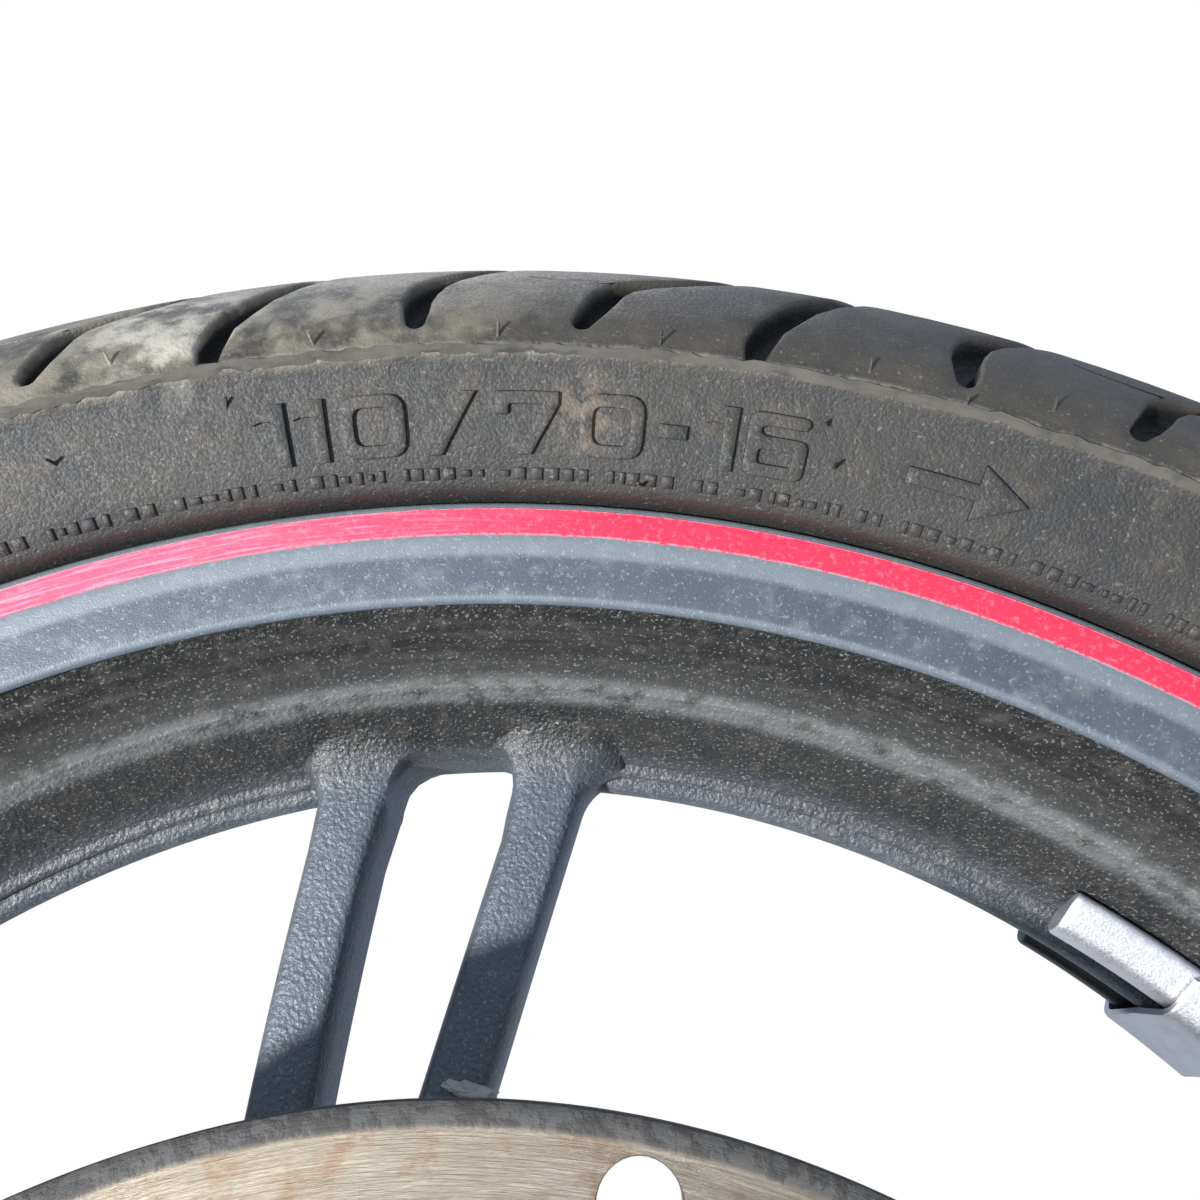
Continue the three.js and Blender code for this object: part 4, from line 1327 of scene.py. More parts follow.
@dataclass
class CastWheel:
    """The one-piece cast wheel: rim, five swept spoke pairs and hub."""

    steps: int = 240
    pairs: int = 5
    leading: SpokeLine = field(default_factory=lambda: SpokeLine((-27.4, 173.95), (-41, 93), (-38, 28)))
    trailing: SpokeLine = field(default_factory=lambda: SpokeLine((7.61, 174.5), (-14, 103), (-33, 32)))
    rim_width: float = 13.0
    hub_width: float = 11.5
    draft: float = 0.2
    slot_arch: float = 183.0
    spoke_arch: float = 182.6
    root_flare: Profile = field(
        default_factory=lambda: [
            (30, 10.0), (168, 9.7), (177, 9.75), (179.5, 9.97), (182, 10.67), (184.5, 11.93), (186.5, 13.4),
            (188.2, 15.1), (189.1, 16.2), (190.2, 15.6),
        ]
    )
    bolt_circle: float = BOLT_CIRCLE
    chip_place: tuple[float, float, float] = (-3.4, -10.2, 128.4)

    def rim_section(self) -> Profile:
        """The rim's closed section, from its inner tip round the flange and back along the bead seat.

        Returns:
            The outline, one side and then the other.
        """
        half = [
            (0, 178.9), (-1.0, 178.95), (-1.9, 179.3), (-2.5, 179.9), (-2.8, 180.8), (-3.2, 181.7),
            (-3.7, 182.0), (-4.2, 181.6),
            (-4.6, 181.15), (-5.1, 181.1), (-5.6, 181.4), (-6.0, 182.2), (-6.2, 182.9), (-6.5, 183.25),
            (-9, 184.7), (-13, 187.0), (-17, 189.3),
            (-19.6, 190.8), (-20.8, 191.45), (-21.5, 191.75), (-22.1, 192.15), (-22.9, 192.8),
            (-24.4, 194.0), (-26.6, 195.6), (-29, 197.0),
            (-31.4, 198.25), (-33.4, 199.4), (-34.7, 200.4), (-35.6, 201.25), (-36.3, 201.45),
            (-36.9, 201.15), (-37.4, 200.8), (-38.0, 200.8),
            (-38.5, 201.15), (-38.9, 201.9), (-39.4, 203.6), (-40.1, 206.0), (-40.8, 208.4), (-41.3, 210.1),
            (-41.5, 210.9), (-41.5, 216.3),
            (-41.35, 216.9), (-40.9, 217.35), (-40.3, 217.55), (-39.6, 217.6), (-38.9, 217.4),
            (-38.3, 216.9), (-38.1, 216.2), (-38.1, 205.5),
            (-37.8, 204.3), (-37.1, 203.4), (-36.0, 203.1), (-26.0, 202.3), (-24.6, 202.0), (-23.5, 201.2),
            (-17, 195.7), (-11, 190.5), (-4, 190.5),
        ]
        return half + other_side(half[1:])

    def depth_at(self, reach: float) -> float:
        """A spoke's half depth at a distance from the axis; its root flares into the rim's slope."""
        for (r0, d0), (r1, d1) in zip(self.root_flare, self.root_flare[1:]):
            if reach <= r1:
                return d0 + (d1 - d0) * min(max((reach - r0) / (r1 - r0), 0.0), 1.0)
        return self.root_flare[-1][1]

    def spoke(self, line: SpokeLine, left_root: float, right_root: float) -> bmesh.types.BMesh:
        """One spoke with its flared root.

        Args:
            line: The spoke's middle line.
            left_root: Radius of the root's fillet on the left.
            right_root: The same on the right.
        Returns:
            The spoke as a closed solid.
        """
        stations = [1 - k / 18 for k in range(19)] + [-k * 1.3 for k in range(1, 13)]
        rings = []
        for t in stations:
            centre, way = line.at(t)
            right = Vector((-way.y, way.x))
            reach = centre.length
            base = self.rim_width + (self.hub_width - self.rim_width) * max(t, 0.0)
            widths = []
            for root, sign in ((left_root, -1), (right_root, 1)):
                beside = (centre + right * (sign * base / 2)).length
                into = min(max(beside - (self.spoke_arch - root), 0.0), root * 0.985)
                widths.append(base / 2 + root - math.sqrt(root**2 - into**2))
            boxy = 0.27 + 0.4 * min(max((reach - 176.0) / 12.0, 0.0), 1.0)
            ring = []
            for k in range(36):
                turn = math.tau * (k + 0.5) / 36
                c, s = math.cos(turn), math.sin(turn)
                across = math.copysign(abs(c) ** boxy, c)
                deep = math.copysign(abs(s) ** boxy, s)
                width = widths[1] if across > 0 else widths[0]
                taper = 1 - self.draft * abs(deep) ** 1.5
                spot = centre + right * (across * width * taper)
                ring.append(Vector((spot.x, deep * self.depth_at(spot.length), spot.y)))
            rings.append(ring)
        return loft(rings)

    def slot(self) -> bmesh.types.BMesh:
        """What is cut between the two spokes of a pair to leave the arch at its outer end.

        Returns:
            The solid that cuts it.
        """
        near = 0.12
        left_side, right_side = [], []
        for reach in (150, 158, 166, 172, 175.5):
            for line, sign, store in ((self.leading, 1, left_side), (self.trailing, -1, right_side)):
                low, high = -6.0, 1.0
                for _ in range(40):
                    middle = (low + high) / 2
                    if line.at(middle)[0].length > reach:
                        low = middle
                    else:
                        high = middle
                centre, way = line.at(low)
                right = Vector((-way.y, way.x))
                store.append(centre + right * sign * (self.rim_width / 2 + near))
        left_corner = left_side[-1].normalized() * self.slot_arch
        right_corner = right_side[-1].normalized() * self.slot_arch
        outline: list[Vector] = [*left_side]
        start, stop = math.atan2(left_corner.x, left_corner.y), math.atan2(right_corner.x, right_corner.y)
        arch = [
            Vector(
                (
                    self.slot_arch * math.sin(start + (stop - start) * k / 8),
                    self.slot_arch * math.cos(start + (stop - start) * k / 8),
                )
            )
            for k in range(9)
        ]
        left_turn = [
            left_side[-1].lerp(left_corner, k / 5).lerp(left_corner.lerp(arch[3], k / 5), k / 5)
            for k in range(1, 6)
        ]
        right_turn = [
            arch[7].lerp(right_corner, k / 4).lerp(right_corner.lerp(right_side[-1], k / 4), k / 4)
            for k in range(0, 4)
        ]
        outline += left_turn + arch[4:7] + right_turn + list(reversed(right_side))
        rings = []
        layers = [(24, 1.5), (8.2, 1.1), (7.4, 0.82), (6.6, 0.42), (5.8, 0.12), (5.0, 0.0)]
        for place, offset in [(-y, o) for y, o in layers] + [(y, o) for y, o in reversed(layers)]:
            ring = []
            for point in outline:
                share = min(max((point.length - 176) / 6, 0.0), 1.0)
                moved = point + point.normalized() * offset * share
                ring.append(Vector((moved.x, place, moved.y)))
            rings.append(ring)
        return loft(rings)

    def hub_section(self) -> Profile:
        """The hub's closed section, with the pockets of the bearings and seals.

        Returns:
            The outline.
        """
        return [
            (-52.2, 18.2), (-52.2, 62.2), (-51.4, 63.0), (-44.2, 63.0), (-43.0, 62.2), (-40.0, 59.0),
            (-33.0, 52.0), (-24.0, 45.0),
            (-18.5, 42.8), (-14.5, 43.6), (-11.6, 46.2), (-10.4, 49.0), (-9.4, 50.0), (9.4, 50.0),
            (10.4, 49.0), (12.0, 44.5), (16.0, 38.5),
            (24.0, 32.5), (34.0, 27.6), (37.0, 26.4), (38.0, 25.0), (38.0, 18.2), (37.4, 17.6),
            (19.9, 17.6), (19.9, 15.6), (-34.1, 15.6),
            (-34.1, 17.6), (-51.6, 17.6),
        ]

    def chip(self) -> bmesh.types.BMesh:
        """A curl of chipped paint that stands up on a spoke's face, close to the disc.

        Returns:
            The chip as a closed mesh.
        """
        draw = random.Random(3)
        bm = bmesh.new()
        bmesh.ops.create_icosphere(bm, subdivisions=3, radius=1.0)
        for vert in bm.verts:
            vert.co *= draw.uniform(0.7, 1.15)
            vert.co = Vector((vert.co.x * 4.6, vert.co.y * 1.0, vert.co.z * 1.3 - vert.co.x * 0.9))
        bmesh.ops.translate(bm, vec=self.chip_place, verts=bm.verts)
        return bm

    def build(self) -> None:
        """Models the casting and dresses it."""
        pair = [(self.leading, 7.0, 13.0), (self.trailing, 11.0, 8.0)]
        spokes = [self.spoke(*entry) for entry in pair]
        slot = self.slot()
        turns = [360 * i / self.pairs for i in range(self.pairs)]
        steps = [(Joining.ADD, turned(self.hub_section(), 120))]
        steps += [(Joining.ADD, spun_copy(spoke, turn)) for spoke in spokes for turn in turns]
        steps += [(Joining.CUT, spun_copy(slot, turn)) for turn in turns]
        bore = turned([(-34.0, 0.0), (-34.0, 15.6), (19.8, 15.6), (19.8, 0.0)], 120)
        steps.append((Joining.CUT, bore))
        for i in range(BOLTS):
            spot = on_wheel(self.bolt_circle, 0, bolt_turn(i))
            steps.append((Joining.CUT, pin(4.1, -53.4, -36.0, spot.x, spot.z)))
        hole = turned(
            [(150.0, 0.0), (150.0, 10.0), (184.3, 10.0), (184.3, 5.65), (203.5, 5.65), (203.5, 0.0)], 36,
            Turning.VALVE,
        )
        steps.append((Joining.CUT, hole))
        casting = combined(turned(self.rim_section(), self.steps), steps)
        finished(casting, "wheel_casting_body", CAST, Body.WHEEL, ["wheel_casting"], 42.0)
        finished(self.chip(), "wheel_casting_chipped_paint", CHIPPED, Body.WHEEL)
        for side in Side:
            inner, outer = side.value * 41.53, side.value * 41.72
            tape = turned([(inner, 211.2), (outer, 211.25), (outer, 215.95), (inner, 216.0)], 360)
            finished(
                tape, f"rim_stripe_{side.label}_tape", TAPE, Body.WHEEL,
                [f"rim_stripe_{side.label}"],
            )


# ---- brake disc --------------------------------------------------------------------------------
@dataclass
class BrakeDisc:
    """The drilled brake disc with its windowed carrier and five bolts."""

    radius: float = 130.4
    bore: float = 42.0
    back: float = -52.3
    face: float = -56.3
    bolt_circle: float = BOLT_CIRCLE
    hole: float = 5.0
    hole_circle: float = 121.5
    hole_step: float = 10
    hole_groups: int = 9
    hole_rows: int = 3
    first_hole: float = 10.35
    hole_lean: float = 7

    def window(self, middle: float) -> bmesh.types.BMesh:
        """What is cut to make one window of the carrier.

        Args:
            middle: The window's middle in degrees.
        Returns:
            The solid that cuts it.
        """
        outline = []
        for radius, turns in ((94.4, (-23, -12, 0, 12, 23)), (64.0, (20, 10, 0, -10, -20))):
            for turn in turns:
                point = on_wheel(radius, 0, middle + turn)
                outline.append((point.x, point.z))
        outline = rounded(outline, 4.0, 3)
        return loft([[Vector((x, y, z)) for x, z in outline] for y in (self.face - 2, self.back + 2)])

    def build(self) -> None:
        """Models the disc and its bolts and dresses them."""
        section = [
            (self.back, self.bore + 0.5), (self.back, self.radius - 0.7),
            (self.back - 0.5, self.radius - 0.1), (self.back - 1.0, self.radius),
            (self.face + 1.0, self.radius), (self.face + 0.4, self.radius - 0.15),
            (self.face, self.radius - 0.8), (self.face, 127.9),
            (self.face + 0.12, 127.5), (self.face + 0.2, 127.0), (self.face + 0.2, 96.0),
            (self.face + 0.1, 95.6), (self.face, 95.2),
            (self.face, self.bore + 0.5), (self.face + 0.5, self.bore), (self.back - 0.5, self.bore),
        ]
        cuts = []
        for group in range(self.hole_groups):
            for row in range(self.hole_rows):
                turn = self.first_hole + group * 360 / self.hole_groups - row * self.hole_lean
                spot = on_wheel(self.hole_circle - row * self.hole_step, 0, turn)
                cuts.append(pin(self.hole, self.face - 0.2, self.back + 0.4, spot.x, spot.z, 0.35, 32))
        for i in range(BOLTS):
            spot = on_wheel(self.bolt_circle, 0, bolt_turn(i))
            cuts.append(pin(4.4, self.face - 1, self.back + 1, spot.x, spot.z))
            cuts.append(self.window(bolt_turn(i) + 180 / BOLTS))
        disc = combined(turned(section, 300), [(Joining.CUT, merged(cuts))])
        finished(disc, "brake_disc_plate", DISC, Body.WHEEL, ["brake_disc"])
        for i in range(BOLTS):
            self.bolt(i)

    def bolt(self, number: int) -> None:
        """Models one button-headed bolt and dresses it.

        Args:
            number: Which bolt, from 0.
        """
        head = self.face - 0.1
        section = [
            (head - 4.5, 0.0), (head - 4.5, 4.0), (head - 4.2, 5.0), (head - 3.3, 6.1), (head - 1.9, 6.8),
            (head - 0.5, 7.0), (head, 6.8),
            (head, 4.0), (head + 19.3, 4.0), (head + 20, 3.3), (head + 20, 0.0),
        ]
        socket_turns = [math.tau * k / 6 for k in range(6)]
        socket = loft(
            [
                [Vector((r * math.cos(t), y, r * math.sin(t))) for t in socket_turns]
                for y, r in ((head - 5.5, 2.9), (head - 1.9, 2.9), (head - 1.6, 2.2))
            ]
        )
        bm = combined(turned(section, 40), [(Joining.CUT, socket)])
        spot = on_wheel(self.bolt_circle, 0, bolt_turn(number))
        bmesh.ops.translate(bm, vec=(spot.x, 0, spot.z), verts=bm.verts)
        finished(
            bm, f"disc_bolt_{number + 1}_button", BOLT, Body.WHEEL,
            [f"disc_bolt_{number + 1}"], 30.0,
        )


# ---- bearings and axle -------------------------------------------------------------------------
@dataclass
class Bearing:
    """One sealed ball bearing of the hub, with the dust seal outside it."""

    side: Side
    low: float
    bore: float = 15.0
    outside: float = 35.0
    width: float = 11.0
    ball: float = 6.0
    balls: int = 8

    def race(self, plain: float, sign: int) -> bmesh.types.BMesh:
        """One race with its round groove; sign is -1 for the inner one.

        Args:
            plain: Radius of the race's plain face.
            sign: 1 for the outer race, -1 for the inner one.
        Returns:
            The race as a closed mesh.
        """
        circle = (self.bore + self.outside) / 4
        shoulder = circle + sign * self.ball * 0.3
        middle, groove = self.low + self.width / 2, self.ball / 2 + 0.12
        reach = math.asin(math.sqrt(groove**2 - (self.ball * 0.3) ** 2) / groove)
        curve = [
            (middle + groove * math.sin(reach * k / 5), circle + sign * groove * math.cos(reach * k / 5))
            for k in range(-5, 6)
        ]
        high, chamfer = self.low + self.width, 0.4 * sign
        section = [
            (self.low + 0.4, plain), (self.low, plain - chamfer), (self.low, shoulder), *curve,
            (high, shoulder), (high, plain - chamfer), (high - 0.4, plain),
        ]
        return turned(section, 72)

    def build(self) -> None:
        """Models the bearing and its seal and dresses them."""
        tag = self.side.label
        circle, middle = (self.bore + self.outside) / 4, self.low + self.width / 2
        land = self.ball * 0.3
        finished(
            self.race(self.outside / 2, 1), f"bearing_outer_{tag}_race", TURNED, Body.WHEEL,
            [f"bearing_outer_race_{tag}"],
        )
        finished(
            self.race(self.bore / 2 + 0.1, -1), f"bearing_inner_{tag}_race", TURNED, Body.AXLE,
            [f"bearing_inner_race_{tag}"],
        )
        set_of_balls = [
            turned(
                rounded(
                    [
                        (middle - 2, circle - 1.1), (middle + 2, circle - 1.1), (middle + 2, circle + 1.1),
                        (middle - 2, circle + 1.1),
                    ],
                    0.3, 2,
                ),
                72,
            )
        ]
        for i in range(self.balls):
            ball = bmesh.new()
            bmesh.ops.create_icosphere(ball, subdivisions=3, radius=self.ball / 2)
            bmesh.ops.translate(ball, vec=on_wheel(circle, middle, 360 * i / self.balls), verts=ball.verts)
            set_of_balls.append(ball)
        body = Body.BALLS_DISC if self.side is Side.DISC else Body.BALLS_FAR
        finished(
            merged(set_of_balls), f"bearing_{tag}_balls", TURNED, body,
            [f"bearing_balls_{tag}"],
        )
        outer_low = self.low + 0.2 if self.side is Side.DISC else self.low + self.width - 1
        inner_low = self.low + self.width - 1 if self.side is Side.DISC else self.low + 0.2
        for word, low in (("outer", outer_low), ("inner", inner_low)):
            section = rounded(
                [
                    (low, circle - land + 0.25), (low + 0.8, circle - land + 0.25),
                    (low + 0.8, circle + land - 0.2), (low, circle + land - 0.2),
                ],
                0.2, 2,
            )
            finished(
                turned(section, 72), f"bearing_shield_{word}_{tag}_ring", SEAL, Body.WHEEL,
                [f"bearing_shield_{word}_{tag}"],
            )
        ends = (-52.2, self.low - 0.3) if self.side is Side.DISC else (self.low + self.width + 0.3, 38.0)
        low, high = ends
        half = (low + high) / 2
        seal = [
            (low + 0.5, 17.5), (low, 17.0), (low, 14.0), (low + 0.8, 12.9), (half - 0.6, 11.25),
            (half + 0.6, 11.25), (high - 0.8, 12.9), (high, 14.0), (high, 17.0), (high - 0.5, 17.5),
        ]
        finished(
            turned(seal, 72), f"dust_seal_{tag}_ring", SEAL, Body.WHEEL,
            [f"dust_seal_{tag}"],
        )


@dataclass
class Axle:
    """The axle with its head, collars, tube, washer and nut."""

    radius: float = 7.5
    head_face: float = -90.0
    washer_face: float = 80.0
    washer_thickness: float = 2.0
    nut_face: float = 82.1
    nut: float = 10.0
    end: float = 98.0
    pitch: float = 1.25

    def collar(self, race_face: float, fork_face: float, side: Side) -> None:
        """Models a stepped spacer collar between bearing and fork, and dresses it.

        Args:
            race_face: Where it touches the bearing.
            fork_face: Where it touches the fork.
            side: The side of the wheel.
        """
        out = side.value
        step = fork_face - out * 5
        section = [
            (race_face, 7.7), (race_face, 10.3), (race_face + out * 1.2, 11.0), (step - out * 0.5, 11.0),
            (step, 11.5), (step, 13.0), (step + out * 0.5, 13.5),
            (fork_face - out * 0.5, 13.5), (fork_face, 13.0), (fork_face, 8.2),
            (fork_face - out * 0.5, 7.7),
        ]
        finished(
            turned(section, 64), f"side_collar_{side.label}_sleeve", ZINC, Body.AXLE,
            [f"side_collar_{side.label}"],
        )

    def shaft(self) -> bmesh.types.BMesh:
        """The axle, from its head with a hexagon socket to its threaded end.

        Returns:
            The shaft as a closed mesh.
        """
        head = self.head_face
        section = [
            (head - 8, 0.0), (head - 8, 12.3), (head - 7.6, 13.1), (head - 6.6, 13.8), (head - 5.5, 14.0),
            (head - 0.5, 14.0), (head, 13.5), (head, 7.5),
        ]
        place = self.nut_face - 2
        section.append((place, self.radius))
        while place < self.end - 1.6:
            section += [
                (place + self.pitch * 0.3, 6.85), (place + self.pitch * 0.55, 6.85),
                (place + self.pitch * 0.85, 7.45), (place + self.pitch, 7.45),
            ]
            place += self.pitch
        section += [(self.end - 0.6, 6.6), (self.end, 6.2), (self.end, 0.0)]
        turns = [math.tau * k / 6 for k in range(6)]
        socket = loft(
            [
                [Vector((r * math.cos(t), y, r * math.sin(t))) for t in turns]
                for y, r in ((head - 9, 5.6), (head - 7.6, 5.0), (head - 2.4, 5.0), (head - 2.0, 3.5))
            ]
        )
        return combined(turned(section, 64), [(Joining.CUT, socket)])

    def build(self) -> None:
        """Models the axle's pieces and dresses them."""
        finished(self.shaft(), "axle_shaft", ZINC, Body.AXLE, ["axle"], 30.0)
        self.collar(-45.3, -70.0, Side.DISC)
        self.collar(31.1, 60.0, Side.FAR)
        tube = [
            (-34.0, 8.0), (-33.7, 7.7), (19.6, 7.7), (19.9, 8.0), (19.9, 9.3), (19.6, 9.6), (-33.7, 9.6),
            (-34.0, 9.3),
        ]
        finished(turned(tube, 64), "distance_tube_sleeve", ZINC, Body.AXLE, ["distance_tube"])
        low, high = self.washer_face, self.washer_face + self.washer_thickness
        washer = rounded([(low, 7.7), (high, 7.7), (high, 14.0), (low, 14.0)], 0.25, 2)
        finished(turned(washer, 64), "axle_washer_ring", ZINC, Body.AXLE, ["axle_washer"])
        self.hexagon_nut()

    def hexagon_nut(self) -> None:
        """Models the axle nut, with its corners turned off at both faces, and dresses it."""
        apothem = 11.0
        layers = [
            (0.0, 10.6), (0.35, 11.2), (0.9, 12.0), (1.5, 12.7), (self.nut - 1.5, 12.7),
            (self.nut - 0.9, 12.0), (self.nut - 0.35, 11.2), (self.nut, 10.6),
        ]
        rings = []
        for up, limit in layers:
            ring = []
            for k in range(72):
                turn = math.tau * k / 72
                flat = apothem / math.cos((turn + math.pi / 6) % (math.pi / 3) - math.pi / 6)
                radius = min(flat, limit)
                ring.append(Vector((radius * math.cos(turn), self.nut_face + up, radius * math.sin(turn))))
            rings.append(ring)
        bore = pin(7.7, self.nut_face - 0.3, self.nut_face + self.nut + 0.3, 0, 0, 0.5, 64)
        finished(
            combined(loft(rings), [(Joining.CUT, bore)]), "axle_nut_hexagon", ZINC, Body.AXLE,
            ["axle_nut"], 24.0,
        )


# ---- valve -------------------------------------------------------------------------------------
@dataclass
class Valve:
    """The snap-in tyre valve at the wheel's lowest point; places are radii of the wheel."""

    spring: bpy.types.Object
    tip: float = 153.0
    stem: float = 3.85

    def thread(self, low: float, high: float, radius: float, pitch: float = 0.8) -> Profile:
        """The ridges of a fine thread between two places.

        Args:
            low: Where the thread starts.
            high: Where it ends.
            radius: Its outer radius.
            pitch: Length of one turn.
        Returns:
            The [place, radius] points of its ridges.
        """
        points: Profile = []
        place = low
        while place < high - pitch:
            points += [
                (place, radius - 0.28), (place + pitch * 0.3, radius), (place + pitch * 0.6, radius),
                (place + pitch * 0.9, radius - 0.28),
            ]
            place += pitch
        return points

    def build(self) -> None:
        """Models the valve's pieces and dresses them."""
        valve = Turning.VALVE
        body = [
            (197.0, 4.15), (197.0, 5.0), (196.4, 5.8), (193.5, 7.0), (191.9, 8.0), (190.95, 8.0),
            (190.9, 5.45), (183.9, 5.45), (183.9, 7.2), (183.2, 7.5),
            (180.3, 7.2), (174.0, 6.0), (168.0, 5.3), (164.4, 5.1), (164.0, 4.8), (164.0, 4.15),
        ]
        finished(
            turned(body, 48, valve), "valve_body_rubber", SEAL, Body.WHEEL, ["valve_body"],
        )
        stem = [
            (196.0, 2.65), (196.0, self.stem), (164.2, self.stem),
            *reversed(self.thread(self.tip + 0.6, 163.8, self.stem)), (self.tip, 3.3), (self.tip, 2.65),
        ]
        finished(turned(stem, 40, valve), "valve_stem_tube", BRASS, Body.WHEEL, ["valve_stem"])
        core = [
            (154.6, 0.85), (154.6, 2.3), (154.9, 2.5), (173.0, 2.5), (173.0, 1.7), (157.6, 1.7),
            (157.6, 0.85),
        ]
        finished(turned(core, 36, valve), "valve_core_barrel", BRASS, Body.WHEEL, ["valve_core"])
        rod = [
            (153.4, 0.0), (153.4, 0.45), (153.6, 0.6), (158.6, 0.6), (158.6, 1.45), (159.0, 1.45),
            (159.0, 0.6), (173.5, 0.6), (173.5, 2.2),
            (173.7, 2.35), (174.3, 2.35), (174.5, 2.2), (174.5, 0.0),
        ]
        finished(turned(rod, 28, valve), "valve_pin_rod", BRASS, Body.PIN, ["valve_pin"])
        self.spring.data.materials.clear()
        self.spring.data.materials.append(ZINC.material())
        self.cap()

    def cap(self) -> None:
        """Models the valve's ribbed dust cap and dresses it."""
        rings = []
        for place, radius, rib in (
            (150.4, 3.4, 0.0), (150.45, 4.2, 0.0), (151.2, 5.0, 0.12), (152.4, 5.05, 0.2),
            (162.4, 5.05, 0.2), (163.2, 5.0, 0.0), (163.5, 4.9, 0.0),
        ):
            ring = []
            for k in range(96):
                turn = math.tau * k / 96
                reach = radius + (rib if k % 4 < 2 else 0.0)
                ring.append(Vector((reach * math.cos(turn), reach * math.sin(turn), -place)))
            rings.append(ring)
        room = turned([(152.6, 0.0), (152.6, 4.15), (164.0, 4.15), (164.0, 0.0)], 48, Turning.VALVE)
        finished(
            combined(loft(rings), [(Joining.CUT, room)]), "valve_cap_ribbed", CAP_PLASTIC, Body.CAP,
            ["valve_cap"],
        )


# ---- balance weight ----------------------------------------------------------------------------
@dataclass
class BalanceWeight:
    """The clip-on balance weight: a bar on each side of the rim's rib, held by a spring clip."""

    start: float = 31.5
    end: float = 49.0
    clip_start: float = 38.0
    clip_end: float = 43.0

    def swept(self, section: Sequence[Point], start: float, end: float, ease: float) -> bmesh.types.BMesh:
        """A section carried round the rim between two angles, slightly smaller at its ends.

        Args:
            section: The [y, r] outline.
            start: First angle in degrees.
            end: Last angle in degrees.
            ease: Share that the ends shrink by.
        Returns:
            The swept solid.
        """
        count = 40
        middle = Vector(
            (sum(y for y, _ in section) / len(section), sum(r for _, r in section) / len(section))
        )
        turns = [(start, 1 - ease), (start + 0.05, 1 - ease * 0.45), (start + 0.16, 1.0)]
        turns += [(start + (end - start) * k / count, 1.0) for k in range(1, count)]
        turns += [(end - 0.16, 1.0), (end - 0.05, 1 - ease * 0.45), (end, 1 - ease)]
        rings = []
        for turn, size in turns:
            scaled = [middle + (Vector(p) - middle) * size for p in section]
            rings.append([on_wheel(p.y, p.x, turn) for p in scaled])
        return loft(rings)

    def build(self) -> None:
        """Models the weight's pieces and dresses them."""
        bar = rounded(
            [
                (5.95, 180.2), (5.95, 182.45), (12.9, 186.4), (13.9, 185.2), (11.0, 179.9), (8.6, 178.8),
                (7.0, 179.0),
            ],
            1.3, 4,
        )
        for side, trim in ((Side.DISC, 0.0), (Side.FAR, 0.4)):
            section = [(side.value * y, r) for y, r in bar]
            piece = self.swept(section, self.start + trim, self.end - trim, 0.12)
            # the far bar is the same metal painted near black, as painted shade
            finished(
                piece, f"balance_weight_{side.label}_bar", WEIGHT if side is Side.DISC else WEIGHT_IN_PAINTED_SHADE,
                Body.WHEEL, [f"balance_weight_{side.label}"],
            )
        low, out, wall = 177.35, 11.95, 1.2
        half = [
            (0, low), (-out + 2, low - 0.5), (-out + 0.6, low + 0.1), (-out - 0.6, low + 1.1),
            (-out - 2.2, low + 3.6), (-out - 3.5, low + 6),
            (-out - 3.5 + wall, low + 6.5), (-out - 1.0, low + 4.2), (-out + 0.4, low + 2.0),
            (-out + 1.3, low + 1.1), (-out + 2.6, low + 0.75), (0, low + wall),
        ]
        section = half + other_side(half[1:-1])
        finished(
            self.swept(section, self.clip_start, self.clip_end, 0.02), "balance_weight_clip_spring", WEIGHT,
            Body.WHEEL, ["balance_weight_clip"],
        )


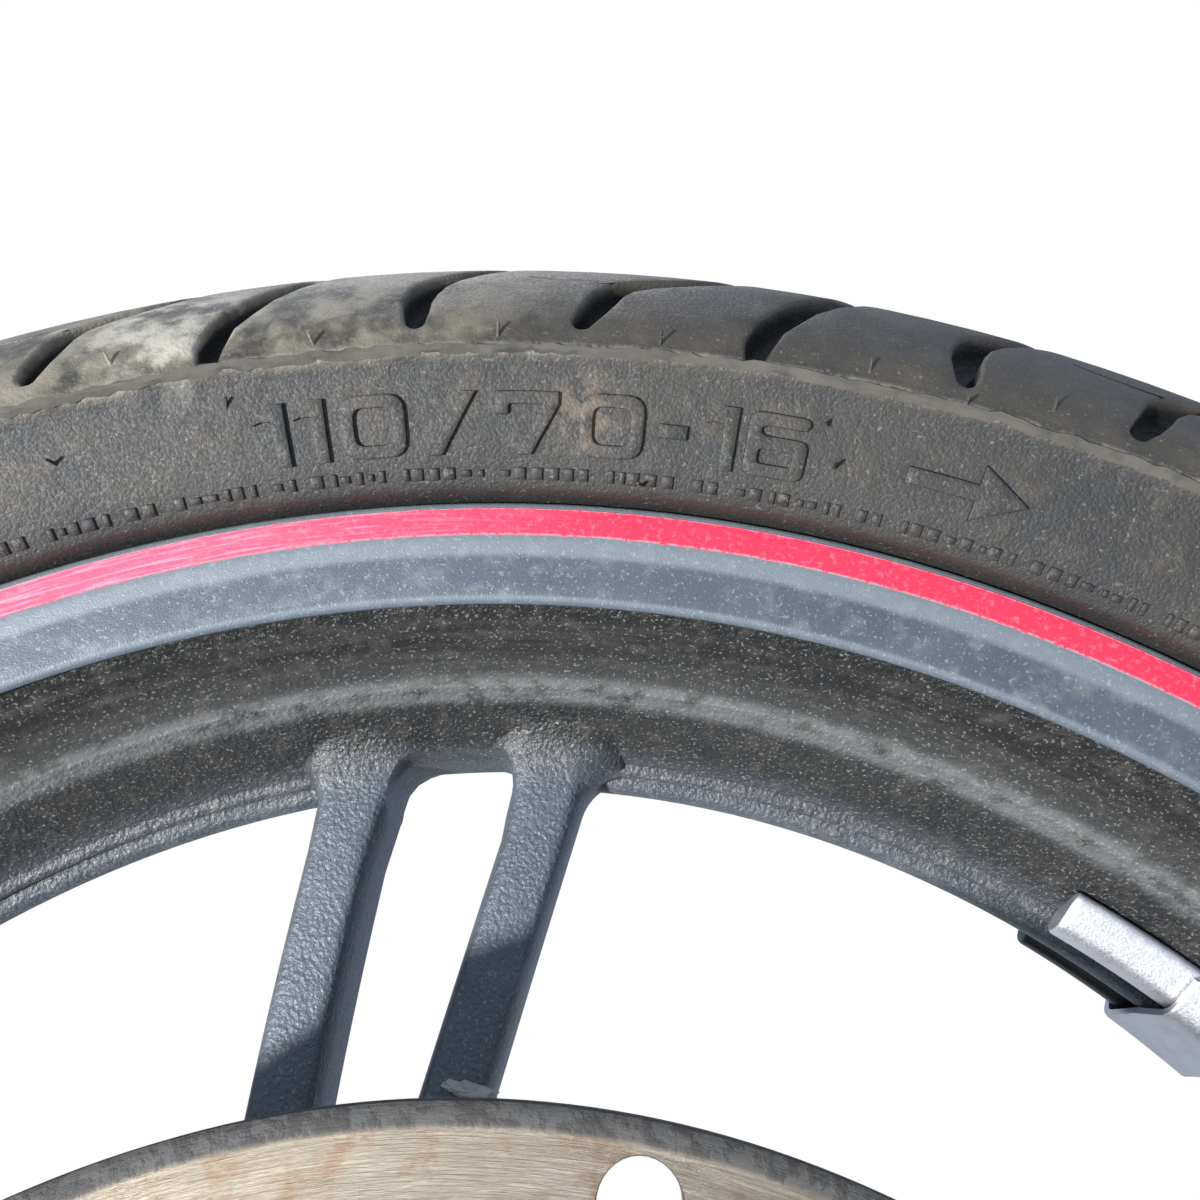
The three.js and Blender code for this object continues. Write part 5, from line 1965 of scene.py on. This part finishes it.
# ---- studio ------------------------------------------------------------------------------------
@dataclass
class Studio:
    """Pale floor, plain light and the camera."""

    floor_level: float = -0.2806
    camera_place: tuple[float, float, float] = (0.0177, -0.1868, 0.1396)
    camera_way: tuple[float, float, float] = (-0.0028, 0.9239, 0.3827)
    lens: float = 30.0
    light_way: tuple[float, float, float] = (0.589, 0.665, 0.457)
    aim: tuple[float, float, float] = (0.0, -0.03, 0.2)

    def lamp(self, name: str, place: Vector, power: float, size: float, spread: float = 180.0) -> None:
        """Adds a square lamp that points at the wheel's upper part.

        Args:
            name: The lamp's name.
            place: Where it hangs, in metres.
            power: Its power in watts.
            size: Its side in metres.
            spread: Its cone in degrees.
        """
        data = bpy.data.lights.new(name, "AREA")
        data.energy, data.size, data.spread = power, size, math.radians(spread)
        obj = bpy.data.objects.new(name, data)
        obj.location = place
        obj.rotation_euler = (Vector(self.aim) - place).to_track_quat("-Z", "Y").to_euler()
        bpy.context.scene.collection.objects.link(obj)

    def build(self) -> None:
        """Sets the floor, the lights, the surroundings and the camera."""
        bm = bmesh.new()
        bmesh.ops.create_grid(bm, x_segments=2, y_segments=2, size=1.4)
        bmesh.ops.translate(bm, vec=(0, 0, self.floor_level), verts=bm.verts)
        mesh = bpy.data.meshes.new("floor")
        bm.to_mesh(mesh)
        bm.free()
        floor = bpy.data.objects.new("floor", mesh)
        paint = bpy.data.materials.new("matt_white_floor")
        paint.use_nodes = True
        shader = paint.node_tree.nodes["Principled BSDF"]
        shader.inputs["Base Color"].default_value = linear("#F4F1EA")
        shader.inputs["Roughness"].default_value = 0.9
        mesh.materials.append(paint)
        bpy.context.scene.collection.objects.link(floor)
        self.lamp("key", Vector(self.aim) - Vector(self.light_way) * 0.95, 5.4, 0.05, 90.0)
        self.lamp("fill", Vector((0.9, -1.4, 1.3)), 2.0, 1.4)
        self.lamp("top", Vector((-0.3, 0.5, 1.8)), 10.0, 1.0)
        world = bpy.data.worlds.new("white_room")
        bpy.context.scene.world = world
        world.use_nodes = True
        tree = world.node_tree
        tree.nodes.clear()
        seen = add(tree, "ShaderNodeLightPath").outputs["Is Camera Ray"]
        strength = add(tree, "ShaderNodeMapRange", {0: seen, 3: 1.05, 4: 1.0}).outputs[0]
        sky = add(
            tree, "ShaderNodeMix", {FACTOR: seen, FIRST: linear("#C4D3EA"), SECOND: linear("#FFFFFF")},
            **MIX
        ).outputs[MIXED]
        background = add(tree, "ShaderNodeBackground", {"Color": sky, "Strength": strength})
        add(tree, "ShaderNodeOutputWorld", {"Surface": background.outputs[0]})
        scene = bpy.context.scene
        scene.view_settings.view_transform = "Standard"
        data = bpy.data.cameras.new("camera")
        data.lens, data.sensor_width, data.clip_start = self.lens, 36.0, 0.005
        camera = bpy.data.objects.new("camera", data)
        camera.location = self.camera_place
        camera.rotation_euler = Vector(self.camera_way).to_track_quat("-Z", "Y").to_euler()
        scene.collection.objects.link(camera)
        scene.camera = camera


def main() -> None:
    """Builds every sub-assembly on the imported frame."""
    logging.basicConfig(level=logging.INFO, format="%(message)s")
    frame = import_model()
    Studio().build()
    Tyre().build()
    CastWheel().build()
    BrakeDisc().build()
    Bearing(Side.DISC, BEARING_DISC_SIDE).build()
    Bearing(Side.FAR, BEARING_FAR_SIDE).build()
    Axle().build()
    Valve(frame["nodes"]["valve_spring"]).build()
    BalanceWeight().build()


if __name__ == "__main__":
    main()
